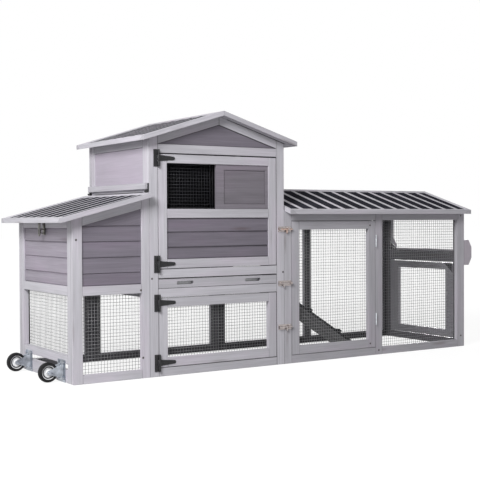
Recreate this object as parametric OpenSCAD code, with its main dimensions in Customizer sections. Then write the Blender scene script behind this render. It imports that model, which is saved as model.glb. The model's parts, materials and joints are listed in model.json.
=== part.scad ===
// Chicken tractor: a nest bay on casters, a tower house with a tray, and a covered run with a ramp.
// X runs along the length from the wheel end, Y from the front face to the back, Z up from the ground.

/* [Overall] */
// Length between the end faces of the frame
frame_length = 2000; // [1960:10:2200]
// Depth from the front face to the back face of the frame
frame_depth = 548; // [530:2:640]
// Length of the nest bay
nest_length = 317; // [305:1:380]
// Length of the tower
tower_length = 633; // [615:1:700]

/* [Heights and slopes] */
// Height of the nest bay at its end face
nest_height = 612; // [600:1:640]
// Height of the tower walls at their side faces
tower_height = 922; // [905:1:980]
// Height of the run walls
run_height = 640; // [625:1:680]
// Slope of the tower and run roofs in degrees
roof_pitch = 17; // [14:0.5:20]
// Slope of the nest lid in degrees
lid_pitch = 14.5; // [12:0.5:16]

/* [Timber] */
// Thickness of the frame laths
lath_t = 20; // [18:0.5:24]
// Width of posts and stiles
post_w = 38; // [34:1:42]
// Width of the nest bay's stiles beside the tower
nest_stile_w = 34; // [30:1:40]
// Width of the run's corner posts
end_post_w = 45; // [38:1:50]
// Width of the stiles in the end and side frames
side_stile_w = 32; // [26:1:40]
// Width of the frame rails
rail_w = 35; // [30:1:40]
// Upright width of the tower rafters
rafter_h = 34; // [28:1:40]
// Height of the sills on the ground
sill_h = 33; // [28:1:38]
// Thickness of floor, gable and side panels
panel_t = 9; // [6:0.5:12]
// Set-back of panels and siding from the frame face
panel_set = 5; // [3:0.5:7]
// Hairline seam between pieces of one frame
seam = 0.2; // [0.1:0.05:0.4]
// Clearance between a moving piece and its stop
body_gap = 0.4; // [0.3:0.05:0.8]

/* [Siding] */
// Thickness of the siding boards
siding_t = 10; // [8:0.5:12]
// Height of the lowest siding board
siding_first = 45; // [38:1:60]
// Height of the other siding boards
siding_pitch = 59; // [50:1:70]
// Least height of the top siding board
siding_least = 20; // [15:1:28]
// Chamfer along the edges of a siding board
siding_groove = 2.5; // [1.5:0.1:3.5]

/* [Nest bay] */
// Height of the nest bay's middle rail above the ground
nest_rail_z = 326; // [316:1:336]
// Step from the top of the middle rail down to the nest floor
nest_floor_drop = 4; // [2:0.5:8]
// Height of the board that carries the casters
caster_board_h = 48; // [44:1:52]
// Gap between the caster board and the rail above it
caster_slot_h = 22; // [16:1:26]
// Height of the lowest rail of the nest end
end_rail_h = 32; // [28:1:38]

/* [Tower front] */
// Height of the lower door opening
low_open_h = 272; // [262:1:280]
// Height of the tray opening
tray_open_h = 40; // [36:1:46]
// Clearance round each door
door_gap = 2; // [1.6:0.1:3]
// Width of the door rails
door_rail_w = 36; // [32:1:40]
// Height of the siding in the upper door
door_siding_h = 160; // [150:1:170]

/* [Shutter] */
// Width of the sliding shutter
shutter_w = 250; // [235:1:262]
// Thickness of the shutter frame
shutter_t = 12; // [10:0.5:13]
// Width of the shutter's leading stile
shutter_lead = 36; // [28:1:42]
// Width of the shutter's trailing stile
shutter_trail = 13; // [10:1:20]
// Width of the shutter's rails
shutter_rail = 20; // [16:1:26]
// Thickness of the tongue that runs in the door's grooves
tongue_t = 6; // [5:0.5:8]
// Height of the tongue
tongue_h = 5; // [4:0.5:6]
// Clearance of the shutter in its window and grooves
shutter_clear = 0.5; // [0.4:0.05:0.8]

/* [Tray] */
// Thickness of the tray's front board
tray_front_t = 16; // [14:0.5:19]
// Depth of the tray pan from front to back
tray_pan_d = 490; // [440:5:500]
// Height of the tray pan
tray_pan_h = 30; // [24:1:34]
// Wall of the tray pan
tray_wall = 1.2; // [0.8:0.1:2]
// Clearance of the tray in its opening
tray_clear = 1.5; // [1:0.1:2.5]
// Length of a handhold slot
slot_len = 76; // [60:1:90]
// Height of a handhold slot
slot_h = 10; // [8:0.5:14]
// Distance between the two handhold slots' centres
slot_span = 319; // [280:1:340]
// Height of the runners under the tray
runner_h = 20; // [16:1:26]
// Bearing of the tray pan on each runner
runner_bearing = 18; // [12:1:24]

/* [Run] */
// Width of the run door
run_door_w = 458; // [430:1:470]
// Height of the run's top rails
run_rail_h = 40; // [36:1:46]
// Height of the end wall's middle rail above the ground
end_mid_z = 398; // [390:1:410]
// Height of the end wall's middle rail
end_mid_h = 52; // [44:1:60]
// Gap above and below the end panel
end_panel_gap = 5; // [3:0.5:8]
// Width of the end panel's stiles
end_panel_stile = 52; // [44:1:60]
// Width of the end panel's rails
end_panel_rail = 32; // [28:1:40]
// Length of a corner block along its rail
corner_leg = 56; // [44:1:64]
// Height of a corner block
corner_h = 44; // [36:1:52]
// Thickness of a corner block
corner_t = 7; // [6:0.5:12]

/* [Nets] */
// Thickness of the wire in the nets
wire = 1.2; // [0.8:0.1:2.4]
// Smallest pitch of the nets
net_pitch = 16; // [14:1:30]
// Greatest number of gaps in one net
net_gaps = 170; // [100:10:280]
// Overlap of a net on the back of its frame
net_lap = 8; // [6:0.5:10]

/* [Roofs] */
// Thickness of the roof edge boards
edge_t = 18; // [15:0.5:22]
// Width of the roof edge boards
edge_w = 36; // [30:1:44]
// Thickness of the roof sheets
sheet_t = 6; // [4:0.5:8]
// Width of a roof batten
batten_w = 20; // [16:1:30]
// Height of a roof batten above the sheet
batten_h = 4; // [3:0.5:10]
// Spacing of the roof battens
batten_pitch = 75; // [60:1:90]
// Overhang of every roof at the front and back
roof_over = 40; // [35:1:50]
// Overhang of the tower roof past its side walls
eave_over = 41; // [35:1:50]
// Overhang of the nest lid past the end wall
lid_over = 60; // [50:1:66]
// Overhang of the run roof past the end wall
run_over = 6; // [4:1:12]
// Gap between the tower wall and the roofs beside it
roof_gap = 5; // [4:0.5:6]
// Gap between the lid and the drip strip on the tower wall above it
drip_gap = 13; // [11:0.5:16]
// Height of the drip strip
drip_h = 24; // [18:1:30]
// Thickness of the drip strip
drip_t = 12; // [10:0.5:13]

/* [Hinges] */
// Radius of the hinge knuckles
knuckle_r = 4.6; // [4:0.1:4.8]
// Radius of the hinge pins
hinge_pin_r = 2; // [1.6:0.1:2.4]
// Running clearance of pins and axles in their bores
pin_clear = 0.05; // [0.02:0.01:0.09]
// Thickness of hinge plates and straps
hinge_t = 2; // [1.6:0.1:2.4]
// Distance of a door hinge's knuckle from the door's face
knuckle_stand = 1; // [0.8:0.1:1.6]
// Play between neighbouring knuckles
knuckle_play = 0.4; // [0.3:0.05:0.6]
// Height of a T-hinge plate
plate_h = 66; // [56:1:70]
// Width of a T-hinge plate
plate_w = 20; // [16:0.5:22]
// Length of a T-hinge strap
strap_len = 80; // [66:1:90]
// Height of a T-hinge strap at its knuckle
strap_h = 25; // [20:1:28]
// Height of a T-hinge strap at its tip
strap_tip = 13; // [10:0.5:16]
// Radius of the screw holes in hinges and plates
screw_hole_r = 2; // [1.5:0.1:2.4]
// Height of a run door hinge
butt_h = 54; // [46:1:64]
// Depth of a run door hinge leaf
butt_leaf = 16; // [12:0.5:18]
// Thickness of a run door hinge leaf
butt_t = 0.7; // [0.5:0.05:0.75]
// Distance of the run door's upper hinge from the door's top
butt_inset_top = 90; // [70:1:120]
// Distance of the run door's lower hinge from the door's bottom
butt_inset_low = 125; // [90:1:150]
// Length of a lid hinge along its pin
lid_hinge_w = 24; // [20:1:30]
// Width of a lid hinge's wall leaf
lid_lug_w = 9; // [8:0.5:12]
// Height of a lid hinge's wall leaf above its pin
lid_leaf = 31; // [26:1:36]
// Distance of a lid hinge's end from the frame's face
lid_hinge_y = 1; // [0.5:0.5:3]

/* [Bolts] */
// Height of the bolt on the upper door
bolt_upper_z = 565; // [540:1:600]
// Height of the bolt on the run door
bolt_run_z = 339; // [310:1:380]
// Height of the bolt on the lower door
bolt_lower_z = 156; // [140:1:190]
// Radius of a bolt rod
bolt_r = 3.5; // [3:0.1:4]
// Length of a bolt rod
bolt_len = 68; // [66:1:69]
// Distance of a bolt's rear guide from the end of its plate
bolt_guide_set = 12; // [10:0.5:14]
// Length of a bolt plate
bolt_plate_l = 66; // [64:1:72]
// Height of a bolt plate
bolt_plate_h = 22; // [18:1:28]
// Thickness of a bolt plate
bolt_plate_t = 1.6; // [1.2:0.1:2]
// Length of a bolt guide
bolt_guide_l = 8; // [6:0.5:9]
// Wall of a bolt guide
bolt_guide_wall = 2.4; // [1.8:0.1:3]
// Distance of the bolt rod's surface from the frame's face
bolt_stand = 3.6; // [3:0.1:4.5]
// Length of a bolt's drop knob
bolt_knob_l = 15; // [12:0.5:18]
// Radius of a bolt's drop knob
bolt_knob_r = 3; // [2.5:0.1:3.4]

/* [Hasp] */
// Distance of the hasp's pin from the end wall
hasp_out = 20; // [19.5:0.5:22]
// Drop of the hasp's pin below the lid
hasp_drop = 6; // [5:0.5:8]
// Length of the hasp leaf below its pin
hasp_len = 56; // [54:1:62]
// Width of the hasp leaf
hasp_w = 22; // [20:1:26]
// Radius of the hasp's knuckles
hasp_knuckle_r = 2.8; // [2.6:0.1:3.2]
// Radius of the hasp's pin
hasp_pin_r = 1.4; // [1.2:0.1:1.6]
// Radius of the staple's wire
staple_r = 1.5; // [1.2:0.1:1.8]
// Radius of the staple's bend
staple_bend = 7; // [6:0.5:7.5]
// Reach of the staple from the end wall
staple_reach = 17; // [16.5:0.1:17.5]
// Drop of the staple's middle below the hasp's pin
staple_drop = 37; // [36:0.5:38]

/* [Casters] */
// Diameter of the caster wheels
wheel_d = 75; // [70:1:80]
// Width of the caster wheels
wheel_w = 24; // [20:1:28]
// Thickness of the tyre
tyre_t = 11; // [8:0.5:13]
// Edge of the tyre's crowned tread
tyre_crown = 3.6; // [2:0.1:5]
// Width of the hub's rim
hub_rim_w = 20; // [16:0.5:22]
// Thickness of the hub's web
hub_web_t = 8; // [6:0.5:10]
// Radius of the hub's boss
hub_boss_r = 8; // [7:0.5:10]
// Diameter of the caster axles
axle_d = 8; // [6:0.5:10]
// Diameter of the axles' heads
axle_head_d = 12; // [11:0.5:14]
// Distance of the caster axle from the end wall
caster_out = 57; // [52:1:64]
// Distance of each caster's middle from the frame's face
caster_inset = 107; // [100:1:130]
// Clearance of the wheels above the ground while the frame rests on it
wheel_lift = 2; // [1:0.5:4]
// Thickness of the fork sheet
fork_t = 2.5; // [2:0.1:3]
// Clearance between the wheel and the fork
fork_clear = 2; // [1.5:0.1:3]
// Width of the fork's bolting plate
fork_plate_w = 66; // [60:1:76]
// Height of the fork's bolting plate
fork_plate_h = 84; // [82:1:90]
// Distance of the fork's bolts from the caster's middle
fork_bolt_y = 25; // [24:0.5:27]
// Height of the fork's lower bolts above the ground
fork_bolt_z = 16; // [12:1:24]
// Distance of the fork's upper bolts from the top of its plate
fork_bolt_edge = 9; // [6:0.5:10]
// Diameter of the heads of the fork's bolts
fork_bolt_d = 8; // [6:0.5:10]
// Radius of the fork's ends round the axle
fork_boss_r = 8; // [7:0.5:10]

/* [Ramp] */
// Length of the ramp
ramp_len = 645; // [600:5:700]
// Width of the ramp
ramp_w = 200; // [160:2:220]
// Thickness of the ramp board
ramp_t = 12; // [10:0.5:14]
// Spacing of the ramp's cleats
cleat_pitch = 195; // [150:5:200]
// Height of a cleat
cleat_h = 10; // [8:0.5:14]
// Width of a cleat
cleat_w = 18; // [14:1:24]
// Radius of the rod that the ramp hangs on
ramp_rod_r = 4; // [3:0.1:5]
// Length of the hooks that hang the ramp on its rod
ramp_hook_len = 32; // [26:1:40]
// Distance of the ramp rod from the tower wall
ramp_rod_out = 12; // [11:0.5:16]
// Drop of the ramp rod below the pop-hole's sill
ramp_rod_drop = 28; // [22:1:34]
// Clearance of the ramp's foot above the ground
ramp_foot = 1; // [0.5:0.5:3]
// Width of the pop-hole
pop_w = 230; // [210:2:260]
// Height of the pop-hole
pop_h = 300; // [260:2:320]

/* [Handle] */
// Reach of the handle cheeks from the end wall
handle_out = 50; // [46:1:60]
// Height of the handle's lower edge above the ground
handle_z = 385; // [375:1:400]
// Height of the handle cheeks
handle_h = 119; // [105:1:130]
// Chamfer of the handle cheeks along the reach
handle_cham_x = 19; // [14:1:22]
// Chamfer of the handle cheeks along the height
handle_cham_z = 34; // [26:1:38]
// Diameter of the grip bar
grip_d = 24; // [20:1:26]
// Distance of the grip bar from the cheeks' outer edge
grip_inset = 4; // [3:0.5:6]

/* [Hidden] */
$fn = 48;
x_tower = nest_length;
x_run = nest_length + tower_length;
x_mid = x_tower + tower_length / 2;
y_in = lath_t + seam;
net_t = 2 * wire + seam;
y_out = frame_depth - lath_t - seam;
y_mid = frame_depth / 2;
roof_cos = cos(roof_pitch);
lid_cos = cos(lid_pitch);
tower_ridge = tower_height + tan(roof_pitch) * tower_length / 2;
run_ridge = run_height + tan(roof_pitch) * frame_depth / 2;

// The part's origin is under the middle of its bounding box
wheel_z = wheel_d / 2 + wheel_lift;
origin_x = (frame_length + handle_out - caster_out - wheel_d / 2) / 2;

// Levels of the tower front, from the ground up
z_tray_rail = sill_h + low_open_h;
z_tray = z_tray_rail + rail_w;
z_house_rail = z_tray + tray_open_h;
z_house = z_house_rail + rail_w;
z_gable = tower_under(x_tower + post_w) - rafter_h;
z_head = z_gable - rail_w;

// Levels of the nest bay
z_end_rail = caster_board_h + caster_slot_h;
z_nest_siding = nest_rail_z + rail_w;
nest_rail_slope = rail_w / lid_cos;

// Positions along the run
x_run_door = x_run + post_w + door_gap;
x_run_post = x_run_door + run_door_w + door_gap;
x_run_panel = x_run_post + post_w;
x_run_end = frame_length - lath_t;
z_run_head = run_height - run_rail_h;

// Doors of the tower
door_x0 = x_tower + post_w + door_gap;
door_x1 = x_run - post_w - door_gap;
door_z0 = z_house + door_gap;
door_z1 = z_head - door_gap;
low_z0 = sill_h + door_gap;
low_z1 = z_tray_rail - door_gap;
win_x0 = door_x0 + post_w;
win_x1 = door_x1 - post_w;
win_z0 = door_z0 + 2 * door_rail_w + door_siding_h;
win_z1 = door_z1 - door_rail_w;
shutter_y0 = (lath_t - shutter_t) / 2;
tongue_y0 = (lath_t - tongue_t) / 2;

// Hinge axes
door_axis_x = x_tower + post_w + door_gap / 2;
door_axis_y = -(knuckle_r + knuckle_stand);
run_axis_x = x_run_post - door_gap / 2;
run_axis_y = -(hinge_pin_r + 2 * butt_t + knuckle_stand);
lid_x1 = x_tower - roof_gap;
lid_axis_x = x_tower - knuckle_r - body_gap;
lid_axis_z = lid_top(lid_axis_x) + (knuckle_r + body_gap) / lid_cos;
drip_z0 = lid_top(lid_x1) + drip_gap;
drip_z1 = drip_z0 + drip_h;
hasp_axis_z = lid_under(-hasp_out) - hasp_drop;

// Ramp hung on its rod
pop_z = z_house_rail + seam;
ramp_x = x_run + ramp_rod_out;
ramp_z = pop_z - ramp_rod_drop;
ramp_angle = asin((ramp_z - ramp_t / 2 - ramp_foot) / ramp_len);

// Underside of the lid, the tower roof and the run roof
function lid_under(x) = nest_height + tan(lid_pitch) * x;
function lid_top(x) = lid_under(x) + edge_t / lid_cos;
function tower_under(x) = tower_ridge - tan(roof_pitch) * abs(x - x_mid);
function run_under(y) = run_ridge - tan(roof_pitch) * abs(y - y_mid);

paint = "#b9b8be";
taupe = "#7d7780";
felt = "#3a3940";
dark_stain = "#2f2f34";
zinc = "#c4c6c9";
black = "#2b2b2e";
net_grey = "#5c5c60";

// Moves the frame's corner so that the origin lies under the middle of the part
module place() {
    translate([-origin_x, -y_mid, 0]) children();
}

// A square-cut board between two corners
module board(low, high) {
    translate(low) cube(high - low);
}

// A piece with an outline in X and Z, from y0 to y1
module xz_piece(y0, y1, outline) {
    translate([0, y1, 0]) rotate([90, 0, 0]) linear_extrude(height = y1 - y0) polygon(outline);
}

// A piece with an outline in Y and Z, from x0 to x1
module yz_piece(x0, x1, outline) {
    translate([x0, 0, 0]) rotate([90, 0, 90]) linear_extrude(height = x1 - x0) polygon(outline);
}

// The children and their mirror image on the back of the frame
module at_back() {
    translate([0, frame_depth, 0]) mirror([0, 1, 0]) children();
}

module front_and_back() {
    children();
    at_back() children();
}

// The children and their mirror image across the tower's ridge
module both_slopes() {
    children();
    translate([2 * x_mid, 0, 0]) mirror([1, 0, 0]) children();
}

// One chamfered siding board with its outer face towards -Y
module siding_board(x0, x1, z0, z1, y0) {
    y1 = y0 + siding_t;
    yz_piece(x0, x1, [
        [y0 + siding_groove, z0], [y1, z0], [y1, z1], [y0 + siding_groove, z1],
        [y0, z1 - siding_groove], [y0, z0 + siding_groove]
    ]);
}

// Siding boards from z0 up to z1, the last one cut to what is left
module siding(x0, x1, z0, z1, first = siding_first) {
    lines = [for (z = [z0 + first : siding_pitch : z1 - siding_least]) z];
    edges = concat([z0], lines, [z1]);
    for (i = [0 : len(edges) - 2])
        siding_board(x0, x1, edges[i] + seam, edges[i + 1] - seam, panel_set);
}

// A welded net in local X and Y: upright wires, and cross wires a hairline above them
module net(width, height) {
    pitch = max(net_pitch, sqrt(width * height / net_gaps));
    nx = floor(width / pitch);
    ny = floor(height / pitch);
    for (i = [0 : nx]) {
        x = i * (width - wire) / nx;
        board([x, 0, 0], [x + wire, height, wire]);
    }
    for (j = [0 : ny]) {
        y = j * (height - wire) / ny;
        board([0, y, net_t - wire], [width, y + wire, net_t]);
    }
}

// A net lapped on the inner face of a front frame round an opening
module front_net(x0, x1, z0, z1) {
    translate([x0 - net_lap, y_in + net_t, z0 - net_lap])
        rotate([90, 0, 0])
        net(x1 - x0 + 2 * net_lap, z1 - z0 + 2 * net_lap);
}

// A net lapped on an end frame round an opening, from x to x plus the net's thickness
module end_net(x, y0, y1, z0, z1) {
    translate([x, y0 - net_lap, z0 - net_lap])
        rotate([90, 0, 90])
        net(y1 - y0 + 2 * net_lap, z1 - z0 + 2 * net_lap);
}

// Nest bay

module nest_side_frame() {
    stile_x = x_tower - nest_stile_w;
    function top(x) = lid_under(x) - body_gap;
    xz_piece(0, lath_t, [[0, 0], [post_w, 0], [post_w, top(post_w)], [0, top(0)]]);
    xz_piece(0, lath_t, [
        [stile_x, 0], [x_tower - seam, 0], [x_tower - seam, top(x_tower)], [stile_x, top(stile_x)]
    ]);
    board([post_w + seam, 0, 0], [stile_x - seam, lath_t, sill_h]);
    board([post_w + seam, 0, nest_rail_z], [stile_x - seam, lath_t, z_nest_siding]);
    xz_piece(0, lath_t, [
        [post_w + seam, top(post_w) - nest_rail_slope], [stile_x - seam, top(stile_x) - nest_rail_slope],
        [stile_x - seam, top(stile_x)], [post_w + seam, top(post_w)]
    ]);
}

module left_front_frame() {
    color(paint) place() nest_side_frame();
}

module left_back_frame() {
    color(paint) place() at_back() nest_side_frame();
}

module left_end_frame() {
    stile_y = y_in + side_stile_w;
    top0 = lid_under(0) - body_gap;
    top1 = lid_under(lath_t) - body_gap;
    color(paint) place() {
        front_and_back()
            xz_piece(y_in, stile_y, [[0, 0], [lath_t, 0], [lath_t, top1], [0, top0]]);
        xz_piece(stile_y + seam, frame_depth - stile_y - seam, [
            [0, top0 - rail_w], [lath_t, top0 - rail_w], [lath_t, top1], [0, top0]
        ]);
        for (level = [[z_end_rail, end_rail_h], [nest_rail_z, rail_w]])
            board(
                [0, stile_y + seam, level[0]],
                [lath_t, frame_depth - stile_y - seam, level[0] + level[1]]
            );
    }
}

module left_siding() {
    x0 = post_w + seam;
    x1 = x_tower - nest_stile_w - seam;
    top0 = lid_under(x0) - body_gap - nest_rail_slope - seam;
    top1 = lid_under(x1) - body_gap - nest_rail_slope - seam;
    end_y = y_in + side_stile_w + seam;
    end_top = lid_under(0) - body_gap - rail_w;
    color(taupe) place() {
        front_and_back() intersection() {
            siding(x0, x1, z_nest_siding, top1);
            xz_piece(0, lath_t, [[x0, z_nest_siding], [x1, z_nest_siding], [x1, top1], [x0, top0]]);
        }
        translate([0, frame_depth, 0]) rotate([0, 0, -90])
            siding(end_y, frame_depth - end_y, z_nest_siding, end_top);
    }
}

module left_nets() {
    end_y = y_in + side_stile_w;
    color(net_grey) place() {
        front_and_back() front_net(post_w, x_tower - nest_stile_w, sill_h, nest_rail_z);
        end_net(y_in, end_y, frame_depth - end_y, z_end_rail + end_rail_h, nest_rail_z);
    }
}

module nest_floor() {
    top = z_nest_siding - nest_floor_drop;
    color(paint) place()
        board([y_in, y_in, top - panel_t], [x_tower - seam, y_out, top]);
}

module caster_board() {
    end_y = y_in + side_stile_w + seam;
    color(paint) place() board([0, end_y, 0], [lath_t, frame_depth - end_y, caster_board_h]);
}

// Tower

module tower_gable_frame() {
    post_in = x_tower + post_w;
    rail_x0 = post_in + seam;
    rail_x1 = x_run - post_w - seam;
    function top(x) = tower_under(x) - seam;
    both_slopes() {
        xz_piece(0, lath_t, [[x_tower, 0], [post_in, 0], [post_in, top(post_in)], [x_tower, top(x_tower)]]);
        xz_piece(0, lath_t, [
            [rail_x0, top(rail_x0) - rafter_h], [x_mid - seam, top(x_mid) - rafter_h],
            [x_mid - seam, top(x_mid)], [rail_x0, top(rail_x0)]
        ]);
    }
    for (level = [[0, sill_h], [z_tray_rail, rail_w], [z_head, rail_w - seam]])
        board([rail_x0, 0, level[0]], [rail_x1, lath_t, level[0] + level[1]]);
}

module tower_front_frame() {
    color(paint) place() {
        tower_gable_frame();
        board(
            [x_tower + post_w + seam, 0, z_house_rail],
            [x_run - post_w - seam, lath_t, z_house]
        );
    }
}

module tower_back_frame() {
    color(paint) place() at_back() tower_gable_frame();
}

// One side frame of the tower, with the top of its low rail at lip_z
module tower_side_frame(lip_z) {
    x0 = x_tower;
    x1 = x_tower + lath_t;
    stile_y = y_in + side_stile_w;
    top0 = tower_under(x0) - seam;
    top1 = tower_under(x1) - seam;
    front_and_back()
        xz_piece(y_in, stile_y, [[x0, z_tray_rail], [x1, z_tray_rail], [x1, top1], [x0, top0]]);
    xz_piece(stile_y + seam, frame_depth - stile_y - seam, [
        [x0, top0 - rail_w], [x1, top0 - rail_w], [x1, top1], [x0, top0]
    ]);
    board([x0, stile_y + seam, z_tray_rail], [x1, frame_depth - stile_y - seam, lip_z]);
}

module tower_side_frames() {
    stile_y = y_in + side_stile_w;
    nest_lip = z_nest_siding + rail_w;
    drip_y0 = lid_hinge_y + lid_lug_w + seam;
    color(paint) place() {
        tower_side_frame(nest_lip);
        board(
            [x_tower, stile_y + seam, drip_z1 - rail_w],
            [x_tower + lath_t, frame_depth - stile_y - seam, drip_z1]
        );
        board([x_tower - drip_t, drip_y0, drip_z0], [x_tower - seam, frame_depth - drip_y0, drip_z1]);
        translate([2 * x_mid, 0, 0]) mirror([1, 0, 0]) tower_side_frame(z_house_rail);
    }
}

module tower_side_panels() {
    y0 = y_in + side_stile_w + seam;
    y1 = frame_depth - y0;
    top = tower_height - rail_w - 2 * seam;
    seat = x_run - panel_set;
    low = z_house_rail + seam;
    color(taupe) place() {
        board(
            [x_tower + panel_set, y0, drip_z1 + seam],
            [x_tower + panel_set + panel_t, y1, top]
        );
        yz_piece(seat - panel_t, seat, [
            [y0, low], [y_mid - pop_w / 2, low], [y_mid - pop_w / 2, low + pop_h],
            [y_mid + pop_w / 2, low + pop_h], [y_mid + pop_w / 2, low], [y1, low],
            [y1, top], [y0, top]
        ]);
    }
}

module tower_back_siding() {
    color(taupe) place() at_back()
        siding(x_tower + post_w + seam, x_run - post_w - seam, z_tray, z_head);
}

module tower_net() {
    color(net_grey) place() at_back()
        front_net(x_tower + post_w, x_run - post_w, sill_h, z_tray_rail);
}

// Gable boards of the tower's front and back and of the run's end
module gable_panels() {
    low = z_gable + seam;
    peak = tower_ridge - rafter_h - 3 * seam;
    reach = (peak - low) / tan(roof_pitch);
    run_seat = frame_length - panel_set;
    run_low = run_height + seam;
    color(taupe) place() {
        front_and_back()
            xz_piece(panel_set, panel_set + panel_t, [
                [x_mid - reach, low], [x_mid + reach, low], [x_mid, peak]
            ]);
        yz_piece(run_seat - panel_t, run_seat, [
            [y_in, run_low], [y_out, run_low], [y_out, run_under(y_out) - seam],
            [y_mid, run_ridge - seam], [y_in, run_under(y_in) - seam]
        ]);
    }
}

module tray_runners() {
    color(paint) place() both_slopes()
        board(
            [x_tower + lath_t + seam, y_in, z_tray - runner_h],
            [door_x0 + runner_bearing, y_out, z_tray]
        );
}

// A strip of the tower roof's right slope, between two heights above its underside
module tower_strip(x0, x1, y0, y1, n0, n1) {
    low = n0 / roof_cos;
    high = n1 / roof_cos;
    xz_piece(y0, y1, [
        [x0, tower_under(x0) + low], [x1, tower_under(x1) + low],
        [x1, tower_under(x1) + high], [x0, tower_under(x0) + high]
    ]);
}

// Middles of evenly spread battens across a span, at about the batten pitch
function batten_rows(low, high) =
    let (n = round((high - low) / batten_pitch))
    [for (i = [0 : n - 1]) low + (i + 1 / 2) * (high - low) / n];

tower_x0 = x_mid + seam;
tower_x1 = x_run + eave_over;
roof_y0 = -roof_over;
roof_y1 = frame_depth + roof_over;

module tower_roof_sheets() {
    color(felt) place() both_slopes()
        tower_strip(
            tower_x0 + edge_w + seam, tower_x1 - edge_w - seam,
            roof_y0 + edge_w + seam, roof_y1 - edge_w - seam, 0, sheet_t
        );
}

module tower_roof_boards() {
    in_y0 = roof_y0 + edge_w + seam;
    in_y1 = roof_y1 - edge_w - seam;
    color(paint) place() both_slopes() {
        tower_strip(tower_x0, tower_x1, roof_y0, roof_y0 + edge_w, 0, edge_t);
        tower_strip(tower_x0, tower_x1, roof_y1 - edge_w, roof_y1, 0, edge_t);
        tower_strip(tower_x0, tower_x0 + edge_w, in_y0, in_y1, 0, edge_t);
        tower_strip(tower_x1 - edge_w, tower_x1, in_y0, in_y1, 0, edge_t);
        for (y = batten_rows(in_y0, in_y1))
            tower_strip(
                tower_x0 + edge_w + seam, tower_x1 - edge_w - seam,
                y - batten_w / 2, y + batten_w / 2, sheet_t + seam, sheet_t + batten_h
            );
    }
}

// Run

module run_side_post(x0, x1) {
    yz_piece(x0, x1, [[0, 0], [lath_t, 0], [lath_t, run_under(lath_t) - seam], [0, run_under(0) - seam]]);
}

module run_side_rails(x0, x1) {
    board([x0 + seam, 0, 0], [x1 - seam, lath_t, sill_h]);
    yz_piece(x0 + seam, x1 - seam, [
        [0, z_run_head], [lath_t, z_run_head], [lath_t, run_under(lath_t) - seam], [0, run_under(0) - seam]
    ]);
}

module run_side_frame() {
    run_side_post(x_run + seam, x_run + post_w);
    run_side_post(x_run_post, x_run_panel);
    run_side_post(frame_length - end_post_w, frame_length);
    run_side_rails(x_run + post_w, x_run_post);
    run_side_rails(x_run_panel, frame_length - end_post_w);
}

module run_front_frame() {
    color(paint) place() run_side_frame();
}

module run_back_frame() {
    color(paint) place() at_back() run_side_frame();
}

// A triangular block inside a corner of the end wall, with its right angle at y and z
module corner_block(x, y, z, dy, dz) {
    yz_piece(x - corner_t, x, [[y, z], [y + dy, z], [y, z + dz]]);
}

module run_end_frame() {
    stile_y = y_in + side_stile_w;
    rail_y0 = stile_y + seam;
    rail_y1 = frame_depth - rail_y0;
    color(paint) place() {
        front_and_back() board([x_run_end, y_in, 0], [frame_length, stile_y, run_height]);
        for (level = [[0, sill_h], [end_mid_z, end_mid_h], [z_run_head, run_rail_h]])
            board([x_run_end, rail_y0, level[0]], [frame_length, rail_y1, level[0] + level[1]]);
        corner_block(x_run_end - net_t - 2 * seam, rail_y1, end_mid_z + end_mid_h, -corner_leg, corner_h);
    }
}

end_panel_y0 = y_in + side_stile_w + seam;
end_panel_z0 = sill_h + end_panel_gap;
end_panel_z1 = end_mid_z - end_panel_gap;

module run_end_panel() {
    y0 = end_panel_y0;
    y1 = frame_depth - end_panel_y0;
    in_y0 = y0 + end_panel_stile;
    in_y1 = y1 - end_panel_stile;
    color(paint) place() {
        for (y = [y0, in_y1])
            board([x_run_end, y, end_panel_z0], [frame_length, y + end_panel_stile, end_panel_z1]);
        for (z = [end_panel_z0, end_panel_z1 - end_panel_rail])
            board([x_run_end, in_y0 + seam, z], [frame_length, in_y1 - seam, z + end_panel_rail]);
        corner_block(x_run_end - seam, y0, end_panel_z1, corner_leg, -corner_h);
    }
}

module run_nets() {
    upper_y = y_in + side_stile_w;
    lower_y = end_panel_y0 + end_panel_stile;
    x = x_run_end - seam - net_t;
    color(net_grey) place() {
        front_and_back() front_net(x_run_panel, frame_length - end_post_w, sill_h, z_run_head);
        at_back() front_net(x_run + post_w, x_run_post, sill_h, z_run_head);
        end_net(x, upper_y, frame_depth - upper_y, end_mid_z + end_mid_h, z_run_head);
        end_net(
            x, lower_y, frame_depth - lower_y,
            end_panel_z0 + end_panel_rail, end_panel_z1 - end_panel_rail
        );
    }
}

// A strip of the run roof's front slope, between two heights above its underside
module run_strip(x0, x1, y0, y1, n0, n1) {
    low = n0 / roof_cos;
    high = n1 / roof_cos;
    yz_piece(x0, x1, [
        [y0, run_under(y0) + low], [y1, run_under(y1) + low],
        [y1, run_under(y1) + high], [y0, run_under(y0) + high]
    ]);
}

run_x0 = x_run + roof_gap;
run_x1 = frame_length + run_over;
run_y1 = y_mid - seam;

module run_roof_sheets() {
    color(felt) place() front_and_back()
        run_strip(
            run_x0 + edge_w + seam, run_x1 - edge_w - seam,
            roof_y0 + edge_w + seam, run_y1 - edge_w - seam, 0, sheet_t
        );
}

module run_roof_boards() {
    in_x0 = run_x0 + edge_w + seam;
    in_x1 = run_x1 - edge_w - seam;
    color(paint) place() front_and_back() {
        run_strip(run_x0, run_x0 + edge_w, roof_y0, run_y1, 0, edge_t);
        run_strip(run_x1 - edge_w, run_x1, roof_y0, run_y1, 0, edge_t);
        run_strip(in_x0, in_x1, roof_y0, roof_y0 + edge_w, 0, edge_t);
        run_strip(in_x0, in_x1, run_y1 - edge_w, run_y1, 0, edge_t);
        for (x = batten_rows(in_x0, in_x1))
            run_strip(
                x - batten_w / 2, x + batten_w / 2,
                roof_y0 + edge_w + seam, run_y1 - edge_w - seam, sheet_t + seam, sheet_t + batten_h
            );
    }
}

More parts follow.
